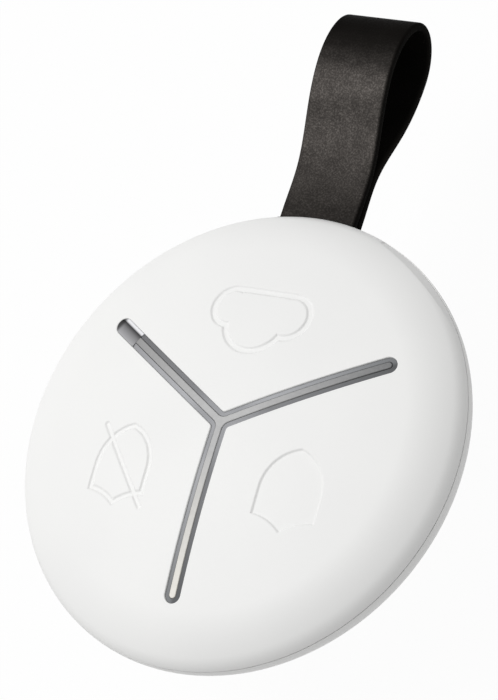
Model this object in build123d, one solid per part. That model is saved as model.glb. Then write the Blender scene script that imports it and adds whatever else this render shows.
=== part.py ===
"""Wireless key fob: a lens-shaped case with three flexing keys, a lit three-armed groove and a strap loop.

Frame: origin at the centre of the flat back, +Z out of the keys, +Y towards the strap, in millimetres.
The front half (cover, keys, light guide, board and coin cell) lifts off the back half along +Z.
"""
import math
import os

from build123d import *

os.makedirs("parts", exist_ok=True)

# Case outline: a flat back, a tight rim and a shallow dome, all tangent arcs
body_diameter = 50.0
back_depth = 6.1            # flat back to the widest plane
dome_radius = 100.0
shoulder_run = 5.25         # rim to the edge of the shallow dome
edge_radius = 2.56
edge_slope = 38.9           # degrees from +Z where the rim arc meets the shoulder
wall = 1.2
seam_rise = 0.37            # widest plane to the seam
seam_gap = 0.1
lip_depth = 1.2             # how far the front's lip reaches below the seam
lip_wall = 0.7
lip_clearance = 0.2

# Pry relief: a crescent cut from the front's edge, beside the strap
pry_start, pry_end = 36.0, 71.0   # degrees from +X
pry_middle, pry_radius = 57.0, 40.0   # the cut's round floor: where it is deepest, degrees, and its radius
pry_depth = 0.7
pry_height = 1.25

# Groove and keys
groove_width = 1.8
arm_rim_margin = 5.84       # rim to the outer end of a groove arm
key_overreach = 0.8         # how far a key reaches past the end of the arms
key_corner_radius = 0.5
flex_gap = 0.1
post_radius = 1.2
key_slack = 0.05            # rest gap from a key's post to its plunger
key_press = 1.2             # degrees
cloud_stroke, shield_stroke = 0.62, 0.5
symbol_depth = 0.12

# Symbols on the keys, placed from the centre of the case
cloud_base_y = 15.05
cloud_reach = 5.95
cloud_left_radius, cloud_right_radius = 2.4, 2.72
cloud_crown_shift, cloud_crown_y, cloud_crown_radius = 0.15, 11.46, 3.77
shield_x = 9.97
shield_half_width = 3.48
shield_tip_drop = 1.42      # from the middle of the case down to each mark of the shield
shield_spring_drop = 6.0    # where the straight side turns into the curve to the tip
shield_corner_drop = 8.81
shield_peak_drop = 10.25
shield_top_sag = 0.3
slash_length = 11.2
slash_slope = 50.0          # degrees
slash_drop = 5.9

# Light guide and its bright strip
guide_side_gap = 0.12
guide_recess = 0.3          # surface of the case to the top of the guide
guide_flange_half_width = 1.6
flange_gap = 0.65           # under side of the keys to the guide's flange
strip_width = 0.78
strip_depth = 0.4
strip_proud = 0.28

# Board, frame and what is on them
cell_diameter, cell_height = 20.0, 3.2
cell_cap_radius, cell_cap_step = 8.9, 0.5
cell_floor_gap = 0.4
contact_space = 0.3         # cell to board
board_thickness = 0.8
board_margin = 0.25         # lip to the edge of the board and frame
frame_strap_gap = 0.1       # strap's tail to the frame's plate above it
frame_plate = 0.7
part_gap = 0.1              # clearance of windows round what passes through them
switch_centre = 11.0        # from the centre of the case
switch_size, switch_height = 3.6, 1.4
switch_floor = 0.25
switch_neck = 0.4
plunger_radius = 0.8
plunger_flange_radius = 1.2
plunger_flange = 0.3
plunger_rise = 0.6
plunger_fit = 0.05
led_tip_margin = 6.6        # arm's end to the middle of its lamp
led_length, led_width, led_height = 2.0, 1.25, 0.8
chip_size, chip_height = 5.0, 0.8
crystal_length, crystal_width, crystal_height = 3.2, 2.5, 0.7
capacitor_length, capacitor_width = 1.0, 0.5
antenna_teeth, antenna_reach, antenna_track, antenna_thickness = 11, 1.6, 0.35, 0.1
antenna_edge_margin = 2.2   # board's edge to the track
antenna_start, antenna_step = -78.0, 4.0

# Screws that hold board and frame to the front cover, one beyond each arm
screw_rim_margin = 3.75
screw_radius, screw_head_radius, screw_head, screw_length = 0.6, 1.05, 0.6, 3.6
screw_fit = 0.03
boss_radius = 1.15
boss_roof = 0.45            # solid left above the screw's tip
driver_slot_width, driver_slot_depth = 0.25, 0.3

# Coin cell holder and contacts
holder_gap = 0.2
holder_wall = 1.2
holder_mouth = 80.0         # degrees of the holder left open for the cell to slide out
clip_width, clip_sheet, clip_foot = 5.0, 0.2, 1.6
contact_sheet = 0.1
contact_width = 3.0
contact_reach, contact_ramp = 4.0, 2.0

# Strap: a flat band folded double, held on two pins inside the back shell
strap_width = 8.9
strap_thickness = 0.95
strap_drop = 0.25           # middle of the doubled strap below the widest plane
strap_slot_gap = 0.05
strap_slot_side = 0.2
tail_length = 6.6
tail_rim_margin = 0.3
pivot_rim_margin = 0.75     # how far outside the rim the loop bends
strap_pin_radius = 0.7
strap_pin_spacing = 4.0
strap_pin_margin = 2.4      # inner end of the tail to the pins
strap_pin_depth = 2.2       # how far the pins sit in the shelf
shelf_side = 1.4
notch_gap = 0.5
loop_join = 4.65            # along the strap from where it bends to where its layers part
loop_fork = 8.2             # to the sharp end of the hole
loop_tip, loop_tip_drop = 22.35, 0.35
loop_front_swell, loop_front_rise = 16.15, 3.65
loop_back_swell, loop_back_drop = 17.25, 4.1
loop_front_bow, loop_front_bow_rise = 10.9, 2.7
loop_back_bow, loop_back_bow_drop = 10.6, 2.95

# Derived sizes
rim = body_diameter / 2
beta = math.radians(edge_slope)
dome_edge = rim - shoulder_run
alpha = math.asin(dome_edge / dome_radius)
shoulder_radius = (shoulder_run - edge_radius * (1 - math.sin(beta))) / (math.sin(beta) - math.sin(alpha))
dome_height = (dome_radius * (1 - math.cos(alpha)) + shoulder_radius * (math.cos(alpha) - math.cos(beta))
               + edge_radius * math.cos(beta))
back_radius = (back_depth - edge_radius * math.cos(beta)) / (1 - math.cos(beta))
flat_radius = rim - edge_radius * (1 - math.sin(beta)) - back_radius * math.sin(beta)
top = back_depth + dome_height
seam = back_depth + seam_rise
front_low = seam + seam_gap
lip_low = seam - lip_depth
lip_rise = edge_radius - wall
lip_outer = rim - edge_radius + math.sqrt(lip_rise ** 2 - (back_depth - lip_low) ** 2) - lip_clearance
lip_inner = lip_outer - lip_wall
arm_end = rim - arm_rim_margin
key_outer = arm_end + key_overreach
ring_inner = key_outer + flex_gap
cell_low = wall + cell_floor_gap
board_low = cell_low + cell_height + contact_space
board_top = board_low + board_thickness
board_radius = lip_inner - board_margin
plunger_top = board_top + switch_height + plunger_rise
screw_circle = rim - screw_rim_margin
led_centre = arm_end - led_tip_margin
strap_middle = back_depth - strap_drop
strap_low = strap_middle - strap_thickness
strap_high = strap_middle + strap_thickness
frame_low = strap_high + frame_strap_gap
frame_top = frame_low + frame_plate
tail_end = rim - tail_rim_margin
strap_pivot = rim + pivot_rim_margin

KEYS = {"cloud": 90, "crossed_shield": 210, "shield": -30}
ARMS = (150, 30, -90)


def slab(low, high, radius=body_diameter):
    """Upright cylinder between two heights, on the case's axis."""
    return Pos(0, 0, low) * Cylinder(radius, high - low, align=(Align.CENTER, Align.CENTER, Align.MIN))


def block(x0, x1, y0, y1, z0, z1):
    """Box between two corners."""
    return Pos(x0, y0, z0) * Box(x1 - x0, y1 - y0, z1 - z0, align=(Align.MIN, Align.MIN, Align.MIN))


def turned(shape, angle):
    """Shape drawn along +X, turned about the case's axis."""
    return Rot(0, 0, angle) * shape


def post(x, y, low, high, radius):
    """Upright cylinder at a place."""
    return Pos(x, y, low) * Cylinder(radius, high - low, align=(Align.CENTER, Align.CENTER, Align.MIN))


def swept_arc(centre, radius, start, end):
    """Arc about a centre in the section plane; angles from +Z towards the rim, in radians."""
    def at(angle):
        return (centre[0] + radius * math.sin(angle), centre[1] + radius * math.cos(angle))
    return ThreePointArc(at(start), at((start + end) / 2), at(end))


def lens(inset=0.0):
    """The case as a solid of revolution, with its skin moved inwards by inset."""
    rim_centre = (rim - edge_radius, back_depth)
    back_centre = (flat_radius, back_radius)
    dome_centre = (0, top - dome_radius)
    shoulder_centre = (dome_edge - shoulder_radius * math.sin(alpha),
                       top - dome_radius * (1 - math.cos(alpha)) - shoulder_radius * math.cos(alpha))
    section = Line((0, inset), (flat_radius, inset))
    section += swept_arc(back_centre, back_radius - inset, math.pi, math.pi - beta)
    section += swept_arc(rim_centre, edge_radius - inset, math.pi - beta, math.pi / 2)
    section += swept_arc(rim_centre, edge_radius - inset, math.pi / 2, beta)
    section += swept_arc(shoulder_centre, shoulder_radius - inset, beta, alpha)
    section += swept_arc(dome_centre, dome_radius - inset, alpha, 0)
    section += Line((0, top - inset), (0, inset))
    return revolve(Plane.XZ * make_face(section), Axis.Z)


def groove_prism(half_width, low, high):
    """Three arms from the centre, everywhere as far inside the groove's outline as each other."""
    end = arm_end - groove_width / 2
    arm = Pos(end / 2, 0) * Rectangle(end, 2 * half_width) + Pos(end, 0) * Circle(half_width)
    arms = turned(arm, ARMS[0]) + turned(arm, ARMS[1]) + turned(arm, ARMS[2])
    inner = [v for v in arms.vertices() if Vector(v.X, v.Y).length < 2 * half_width]
    arms = fillet(inner, key_corner_radius + groove_width / 2 - half_width)
    return Pos(0, 0, low) * extrude(arms, high - low)


def key_prism():
    """Room of one key, pointing along +X: between two arms, out to an arc just past their ends."""
    half = groove_width / 2
    corner = half / math.sin(math.radians(60))
    reach = 2 * key_outer
    far = (corner + reach * math.cos(math.radians(60)), reach * math.sin(math.radians(60)))
    face = make_face(Polyline((corner, 0), far, (far[0], -far[1]), (corner, 0)))
    face = fillet(face.vertices().sort_by(Axis.X)[0], key_corner_radius)
    face = face & Circle(key_outer)
    return extrude(face, top)


def cloud_symbol():
    """Stroke of a cloud: a small and a larger round end on a flat base, and one large crown."""
    left_x, right_x = cloud_left_radius - cloud_reach, cloud_reach - cloud_right_radius
    low = cloud_base_y - cloud_right_radius
    shape = Pos(left_x, cloud_base_y - cloud_left_radius) * Circle(cloud_left_radius)
    shape += Pos(right_x, low) * Circle(cloud_right_radius)
    shape += Pos((left_x + right_x) / 2, (low + cloud_base_y) / 2) * Rectangle(right_x - left_x, cloud_right_radius)
    crown = Pos(-cloud_crown_shift, cloud_crown_y) * Circle(cloud_crown_radius)
    shape += crown & Pos(0, cloud_base_y - cloud_reach) * Rectangle(2 * cloud_reach, 2 * cloud_reach)
    return shape - offset(shape, -cloud_stroke)


def shield_outline(inset):
    """Shield with its tip towards +Y, drawn about x = 0, its edge moved inwards by inset."""
    rise = shield_spring_drop - shield_tip_drop
    radius = (shield_half_width ** 2 + rise ** 2) / (2 * shield_half_width)
    half = shield_half_width - inset
    spring = -shield_spring_drop
    tip = spring + math.sqrt((radius - inset) ** 2 - (radius - shield_half_width) ** 2)
    corner = inset - shield_corner_drop
    peak = inset * math.sqrt(2) - shield_peak_drop
    side = math.radians(45)
    bow = (radius - shield_half_width - (radius - inset) * math.cos(side / 2),
           spring + (radius - inset) * math.sin(side / 2))
    dip = (half / 2, (corner + peak) / 2 + shield_top_sag)
    left = Line((-half, corner), (-half, spring)) + ThreePointArc((-half, spring), bow, (0, tip))
    right = ThreePointArc((0, tip), (-bow[0], bow[1]), (half, spring))
    right += Line((half, spring), (half, corner))
    head = ThreePointArc((half, corner), dip, (0, peak)) + ThreePointArc((0, peak), (-dip[0], dip[1]), (-half, corner))
    return make_face(left + right + head)


def symbol(name):
    """Face of a key's sunk symbol, in its place on the case: the plain shield is sunk all over."""
    if name == "cloud":
        return cloud_symbol()
    if name == "shield":
        return Pos(shield_x, 0) * shield_outline(0)
    ring = shield_outline(0) - shield_outline(shield_stroke)
    slash = Pos(0, -slash_drop) * Rot(0, 0, -slash_slope) * SlotOverall(slash_length, shield_stroke)
    return Pos(-shield_x, 0) * (ring + slash)


CASE = lens()
CAVITY = lens(wall)
CORE = lens(wall / 2)
SHELL = CASE - CAVITY
SLOT = block(-strap_width / 2 - strap_slot_side, strap_width / 2 + strap_slot_side, lip_inner - lip_wall, 2 * rim,
             strap_low - strap_slot_gap, strap_high + strap_slot_gap)


def screw_places():
    """Centres of the three board screws, beyond the ends of the arms."""
    return [(screw_circle * math.cos(math.radians(a)), screw_circle * math.sin(math.radians(a))) for a in ARMS]


def make_back_shell():
    """Back half of the case, with the shelf that carries the strap's tail."""
    shelf_low = tail_end - tail_length - shelf_side
    shelf = block(-strap_width / 2 - shelf_side, strap_width / 2 + shelf_side, shelf_low, rim,
                  wall / 2, strap_low - strap_slot_gap)
    shell = SHELL & slab(0, seam)
    shell += shelf & CORE
    shell -= SLOT
    for x, y in strap_pin_places():
        shell -= post(x, y, strap_low - strap_pin_depth, strap_low, strap_pin_radius + screw_fit)
    return shell


def strap_pin_places():
    """Centres of the two pins through the strap's tail."""
    y = tail_end - tail_length + strap_pin_margin
    return [(-strap_pin_spacing / 2, y), (strap_pin_spacing / 2, y)]


def make_front_cover():
    """Front ring round the keys, with its lip, screw bosses and the lands that close the arms' ends."""
    lands = groove_land()
    ring = SHELL & slab(front_low, top) - slab(0, top, ring_inner)
    ring += lands & SHELL
    collar = slab(front_low, top, rim) - slab(0, top, lip_inner)
    ring += collar & CORE
    ring += slab(lip_low, front_low + lip_wall, lip_outer) - slab(0, top, lip_inner)
    for x, y in screw_places():
        ring += post(x, y, frame_top, top, boss_radius) & CORE
    for x, y in screw_places():
        ring -= post(x, y, 0, board_low + screw_length + screw_fit, screw_radius + screw_fit)
    ring -= SLOT
    return ring - pry_relief()


def groove_land():
    """Blocks between neighbouring keys just past the arms, hollowed by the arms' round ends."""
    half = groove_width / 2
    land = block(arm_end - half, ring_inner + wall / 2, flex_gap - half, half - flex_gap, back_depth, top)
    land -= post(arm_end - half, 0, 0, top, half)
    return turned(land, ARMS[0]) + turned(land, ARMS[1]) + turned(land, ARMS[2])


def pry_relief():
    """Crescent cut from the front's edge just above the seam, for a coin or a nail."""
    away = rim - pry_depth - pry_radius
    middle = math.radians(pry_middle)
    floor = post(away * math.cos(middle), away * math.sin(middle), 0, top, pry_radius)
    ring = slab(front_low - seam_gap, front_low + pry_height, 2 * rim) - floor
    span = math.radians(pry_end - pry_start)
    reach = 3 * rim
    wedge = make_face(Polyline((0, 0), (reach, 0), (reach * math.cos(span), reach * math.sin(span)), (0, 0)))
    return ring & turned(extrude(wedge, top), pry_start)


def make_key(name, angle):
    """One key: a sector of the dome with its sunk symbol and the post that meets the plunger."""
    room = turned(key_prism(), angle)
    key = SHELL & room & slab(back_depth, 2 * top)
    stem = turned(post(switch_centre, 0, plunger_top + key_slack, top, post_radius), angle)
    key += stem & CORE
    sunk = extrude(symbol(name), 2 * top) - lens(symbol_depth)
    return key - sunk


def make_light_guide():
    """Smoky light guide: a rib that fills the groove from below, on a wider flange."""
    half = groove_width / 2 - guide_side_gap
    rib = groove_prism(half, frame_top, top) & Pos(0, 0, -guide_recess) * CASE
    flange = turned(guide_foot(), ARMS[0]) + turned(guide_foot(), ARMS[1]) + turned(guide_foot(), ARMS[2])
    flange &= Pos(0, 0, -wall - flange_gap) * CASE
    return rib + flange - strip_room(0)


def guide_foot():
    """One arm of the light guide's flange, drawn along +X."""
    half = guide_flange_half_width
    return block(0, arm_end - half, -half, half, frame_top, top) + post(arm_end - half, 0, frame_top, top, half)


def strip_room(rise):
    """Channel along the top of the light guide, and the strip that lies in it when raised by rise."""
    arms = groove_prism(strip_width / 2, frame_top, 2 * top)
    high = Pos(0, 0, rise - guide_recess) * CASE if rise else slab(0, 2 * top)
    return arms & high - Pos(0, 0, -guide_recess - strip_depth) * CASE


def strap_notch(gap):
    """Room for the strap's shelf and pins, cut from what lies at its level."""
    half = strap_width / 2 + shelf_side + gap
    return block(-half, half, tail_end - tail_length - shelf_side - gap, 2 * rim, 0, frame_low)


def make_circuit_board():
    """Round board with a notch at the strap and three screw holes."""
    board = slab(board_low, board_top, board_radius) - strap_notch(notch_gap)
    for x, y in screw_places():
        board -= post(x, y, 0, top, screw_radius + part_gap)
    return board


def make_inner_frame():
    """Plate over the board: carries the light guide, shades the lamps and clamps the strap's tail."""
    frame = slab(frame_low, frame_top, board_radius)
    for x, y in screw_places():
        frame += post(x, y, board_top, frame_low, boss_radius) & slab(0, top, board_radius)
    for x, y in screw_places():
        frame -= post(x, y, 0, top, screw_radius + part_gap)
    half = switch_size / 2 + part_gap
    for angle in KEYS.values():
        frame -= turned(block(switch_centre - half, switch_centre + half, -half, half, 0, top), angle)
    long, wide = led_length / 2 + part_gap, led_width / 2 + part_gap
    for angle in ARMS:
        frame -= turned(block(led_centre - long, led_centre + long, -wide, wide, 0, top), angle)
    return frame


def make_key_switches():
    """Three switch cases on the board, each with a guided hole for its plunger."""
    half = switch_size / 2
    case = block(-half, half, -half, half, board_top, board_top + switch_height)
    case -= post(0, 0, board_top + switch_floor, board_top + switch_height - switch_neck,
                 plunger_flange_radius + plunger_fit)
    case -= post(0, 0, board_top + switch_floor, top, plunger_radius + plunger_fit)
    return Compound([turned(Pos(switch_centre, 0, 0) * case, a) for a in KEYS.values()])


def make_plunger(angle):
    """Stepped plunger, kept in its switch by its flange."""
    flange_top = board_top + switch_height - switch_neck - plunger_fit
    plunger = post(switch_centre, 0, flange_top - plunger_flange, plunger_top, plunger_radius)
    plunger += post(switch_centre, 0, flange_top - plunger_flange, flange_top, plunger_flange_radius)
    return turned(plunger, angle)


def make_board_screws():
    """Three screws from under the board up into the front cover's bosses."""
    screw = post(0, 0, board_low, board_low + screw_length, screw_radius)
    screw += post(0, 0, board_low - screw_head, board_low, screw_head_radius)
    slot = block(-screw_head_radius, screw_head_radius, -driver_slot_width / 2, driver_slot_width / 2,
                 0, board_low - screw_head + driver_slot_depth)
    cross = slot + Rot(0, 0, 90) * slot
    return Compound([Pos(x, y, 0) * (screw - cross) for x, y in screw_places()])


def make_status_leds():
    """Three lamps under the arms: a flat case with a smaller lens on top."""
    half_l, half_w = led_length / 2, led_width / 2
    lamp = block(led_centre - half_l, led_centre + half_l, -half_w, half_w, board_top, board_top + led_height / 2)
    lens_half = half_l - led_height / 2
    lamp += block(led_centre - lens_half, led_centre + lens_half, -half_w, half_w,
                  board_top, board_top + led_height)
    return Compound([turned(lamp, a) for a in ARMS])


def make_radio_chip():
    """Square radio chip in the middle of the board, with its corner mark."""
    half = chip_size / 2
    chip = block(-half, half, -half, half, board_top, board_top + chip_height)
    mark = chip_size / 10
    return chip - post(half - 2 * mark, 2 * mark - half, board_top + chip_height - mark / 5, top, mark / 2)


def make_crystal():
    """Metal-lidded crystal beside the chip."""
    x = chip_size / 2 + crystal_length / 2 + capacitor_length
    half_l, half_w = crystal_length / 2, crystal_width / 2
    base = block(x - half_l, x + half_l, -half_w, half_w, board_top, board_top + crystal_height / 2)
    rim_step = crystal_height / 4
    return base + block(x - half_l + rim_step, x + half_l - rim_step, rim_step - half_w, half_w - rim_step,
                        board_top, board_top + crystal_height)


def make_board_capacitors():
    """Small capacitors in a row on three sides of the chip."""
    parts = []
    reach = chip_size / 2 + capacitor_length
    for angle in (90, 180, 270):
        for side in (-1, 0, 1):
            spot = Pos(reach, side * 3 * capacitor_width, board_top)
            body = Box(capacitor_length, capacitor_width, capacitor_width,
                       align=(Align.CENTER, Align.CENTER, Align.MIN))
            parts.append(turned(spot * body, angle))
    return Compound(parts)


def make_antenna():
    """Track that runs to and fro along the board's edge."""
    outer = board_radius - antenna_edge_margin
    inner = outer - antenna_reach
    high = board_top + antenna_thickness
    track = None
    for tooth in range(antenna_teeth):
        angle = antenna_start + tooth * antenna_step
        bar = turned(block(inner, outer, -antenna_track / 2, antenna_track / 2, board_top, high), angle)
        track = bar if track is None else track + bar
        if tooth < antenna_teeth - 1:
            radius = outer - antenna_track / 2 if tooth % 2 else inner + antenna_track / 2
            half_link = radius * math.tan(math.radians(antenna_step / 2)) + antenna_track / 2
            link = block(radius - antenna_track / 2, radius + antenna_track / 2, -half_link, half_link,
                         board_top, high)
            track += turned(link, angle + antenna_step / 2)
    return track


def make_coin_cell():
    """Coin cell with its can towards the back and its smaller cap towards the board."""
    radius = cell_diameter / 2
    can = slab(cell_low, cell_low + cell_height - cell_cap_step, radius)
    return can + slab(cell_low, cell_low + cell_height, cell_cap_radius)


def make_battery_holder():
    """C-shaped wall round the cell, open towards -Y, with pockets for the clip's legs."""
    inner = cell_diameter / 2 + holder_gap
    outer = inner + holder_wall
    wall_ring = slab(cell_low, board_low, outer) - slab(0, top, inner)
    half_mouth = math.radians(holder_mouth / 2)
    reach = 2 * outer
    mouth = Polyline((0, 0), (reach * math.sin(half_mouth), -reach * math.cos(half_mouth)),
                     (-reach * math.sin(half_mouth), -reach * math.cos(half_mouth)), (0, 0))
    wall_ring -= extrude(make_face(mouth), top)
    half = clip_width / 2 + part_gap
    pocket = inner + clip_sheet + part_gap
    wall_ring -= block(-pocket, pocket, -half, half, 0, top)
    wall_ring -= block(-2 * outer, 2 * outer, -half, half, board_low - clip_sheet - part_gap, top)
    return wall_ring


def make_battery_clip():
    """Sheet clip: a band under the cell, two legs up its sides and two feet on the board."""
    inner = cell_diameter / 2 + holder_gap
    outer = inner + clip_sheet
    half = clip_width / 2
    clip = block(-outer, outer, -half, half, cell_low - clip_sheet, cell_low)
    for side in (-1, 1):
        x0, x1 = sorted((side * inner, side * outer))
        clip += block(x0, x1, -half, half, cell_low - clip_sheet, board_low)
        x0, x1 = sorted((side * inner, side * (outer + clip_foot)))
        clip += block(x0, x1, -half, half, board_low - clip_sheet, board_low)
    return clip


def make_negative_contact():
    """Bent spring leaf from the board down to the cell's cap."""
    cap_top = cell_low + cell_height
    low, high = cap_top + contact_sheet / 2, board_low - contact_sheet / 2
    line = Polyline((-contact_reach, high), (0, high), (contact_ramp, low), (contact_reach, low))
    section = trace(line, contact_sheet)
    leaf = extrude(Plane.XZ * section, contact_width / 2, both=True)
    return leaf & slab(cap_top, board_low)


def make_strap_tail():
    """Both ends of the strap, one on the other, held inside the case on two pins."""
    tail = block(-strap_width / 2, strap_width / 2, tail_end - tail_length, tail_end, strap_low, strap_high)
    for x, y in strap_pin_places():
        tail -= post(x, y, 0, top, strap_pin_radius + screw_fit)
    return tail


def make_strap_pins():
    """Two steel pins through the strap's tail into the back shell's shelf."""
    low, high = strap_low - strap_pin_depth + screw_fit, strap_high + strap_slot_gap
    return Compound([post(x, y, low, high, strap_pin_radius) for x, y in strap_pin_places()])


def make_strap_loop():
    """The strap outside the case: two layers that part into a loop and meet at its rounded end."""
    def at(along, across):
        return (strap_pivot + along, strap_middle + across)

    def end_arc(swell, reach, start, inset):
        return EllipticalCenterArc(at(swell, -loop_tip_drop), loop_tip - swell - inset, reach - inset, start)

    t = strap_thickness
    front, back = loop_front_rise + loop_tip_drop, loop_back_drop - loop_tip_drop
    outer = Spline(at(0, t), at(loop_join, t), at(loop_front_bow, loop_front_bow_rise),
                   at(loop_front_swell, loop_front_rise), tangents=((1, 0), (1, 0)))
    outer += end_arc(loop_front_swell, front, 0, 0) + end_arc(loop_back_swell, back, 270, 0)
    outer += Spline(at(loop_back_swell, -loop_back_drop), at(loop_back_bow, -loop_back_bow_drop),
                    at(loop_join, -t), at(0, -t), tangents=((-1, 0), (-1, 0)))
    bend = ThreePointArc(at(0, -t), at(-t, 0), at(0, t))
    hole = Spline(at(loop_fork, 0), at(loop_front_bow, loop_front_bow_rise - t),
                  at(loop_front_swell, loop_front_rise - t), tangents=((1, 1), (1, 0)))
    hole += end_arc(loop_front_swell, front, 0, t) + end_arc(loop_back_swell, back, 270, t)
    hole += Spline(at(loop_back_swell, t - loop_back_drop), at(loop_back_bow, t - loop_back_bow_drop),
                   at(loop_fork, 0), tangents=((-1, 0), (-1, 1)))
    section = make_face(outer + bend) - make_face(hole)
    return extrude(Plane.YZ * section, strap_width / 2, both=True)


def build():
    """Make every piece, by the name of its node."""
    pieces = {
        "back_shell": make_back_shell(),
        "strap_tail": make_strap_tail(),
        "strap_pins": make_strap_pins(),
        "strap_loop": make_strap_loop(),
        "front_cover": make_front_cover(),
        "light_guide": make_light_guide(),
        "light_strip": strip_room(strip_proud),
        "inner_frame": make_inner_frame(),
        "circuit_board": make_circuit_board(),
        "board_screws": make_board_screws(),
        "key_switches": make_key_switches(),
        "status_leds": make_status_leds(),
        "radio_chip": make_radio_chip(),
        "crystal": make_crystal(),
        "board_capacitors": make_board_capacitors(),
        "antenna": make_antenna(),
        "battery_holder": make_battery_holder(),
        "battery_clip": make_battery_clip(),
        "negative_contact": make_negative_contact(),
        "coin_cell": make_coin_cell(),
    }
    for name, angle in KEYS.items():
        pieces["key_" + name] = make_key(name, angle)
        pieces[name + "_plunger"] = make_plunger(angle)
    return pieces


for node, shape in build().items():
    export_step(shape, f"parts/{node}.step")
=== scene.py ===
"""Looks of a wireless key fob: a white lens-shaped case, three flexing keys, a smoky light line and a strap.

Lengths inside the classes are millimetres in the part's own frame; the meshes are made in metres.
"""
from __future__ import annotations

import logging
import math
from dataclasses import dataclass
from enum import Enum
from typing import Optional, Sequence

import bpy
import numpy as np
from mathutils import Matrix, Vector


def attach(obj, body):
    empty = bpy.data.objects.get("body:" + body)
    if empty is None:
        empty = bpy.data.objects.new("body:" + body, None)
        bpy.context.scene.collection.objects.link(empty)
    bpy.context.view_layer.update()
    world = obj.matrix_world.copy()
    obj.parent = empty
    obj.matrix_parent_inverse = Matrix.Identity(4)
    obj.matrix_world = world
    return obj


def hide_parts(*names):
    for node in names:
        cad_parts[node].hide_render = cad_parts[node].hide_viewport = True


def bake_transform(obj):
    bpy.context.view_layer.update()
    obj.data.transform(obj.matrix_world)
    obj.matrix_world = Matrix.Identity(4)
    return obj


LOG = logging.getLogger("key_fob")
MM = 0.001
Array = np.ndarray
Colour = tuple[float, float, float]
Material = bpy.types.Material
Node = bpy.types.Node
Piece = bpy.types.Object
Socket = bpy.types.NodeSocket

SHORTEST = 1e-12
WELDS_PER_MM = 1e4
KEY_HALF_ANGLE = math.radians(60)
TIP_ANGLE = math.radians(30)
# Distances of a grid's lines from a rounded edge, in millimetres
EDGE_LINES = np.array([0.0, 0.015, 0.035, 0.06, 0.09, 0.13, 0.2])
# Directions of the groove's arms in degrees; a screw and its boss stand beyond each arm
ARM_ANGLES = (150.0, 30.0, -90.0)
WINDOW_ARM = ARM_ANGLES[0]
# Distances from the case's axis in millimetres: where the keys meet the ring, the screws, the switches
KEY_SPLIT = 20.06
SCREW_CIRCLE = 21.25
SWITCH_CIRCLE = 11.0

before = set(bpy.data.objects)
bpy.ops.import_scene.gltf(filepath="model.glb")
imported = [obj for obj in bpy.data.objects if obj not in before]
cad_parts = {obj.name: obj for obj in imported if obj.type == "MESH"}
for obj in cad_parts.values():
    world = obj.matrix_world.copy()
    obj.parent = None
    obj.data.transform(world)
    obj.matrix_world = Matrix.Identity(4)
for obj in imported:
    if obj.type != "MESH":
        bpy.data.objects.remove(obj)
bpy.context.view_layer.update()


def report(piece: Piece) -> None:
    """Log a piece's name and how many faces it has."""
    LOG.info("%s: %d faces", piece.name, len(piece.data.polygons))


# Meshes gathered from patches


def unit(vectors: Array) -> Array:
    """Scale vectors to length one.

    Args:
        vectors: An array whose last axis holds x, y and z.

    Returns:
        The same directions with length one.
    """
    length = np.linalg.norm(vectors, axis=-1, keepdims=True)
    return vectors / np.maximum(length, SHORTEST)


def turned(points: Array, degrees: float) -> Array:
    """Turn points or directions about the case's axis.

    Args:
        points: An array whose last axis holds x, y and z.
        degrees: The angle, anticlockwise seen from the keys.

    Returns:
        The turned array.
    """
    c, s = math.cos(math.radians(degrees)), math.sin(math.radians(degrees))
    x, y, z = points[..., 0], points[..., 1], points[..., 2]
    return np.stack([c * x - s * y, s * x + c * y, z], axis=-1)


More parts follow.
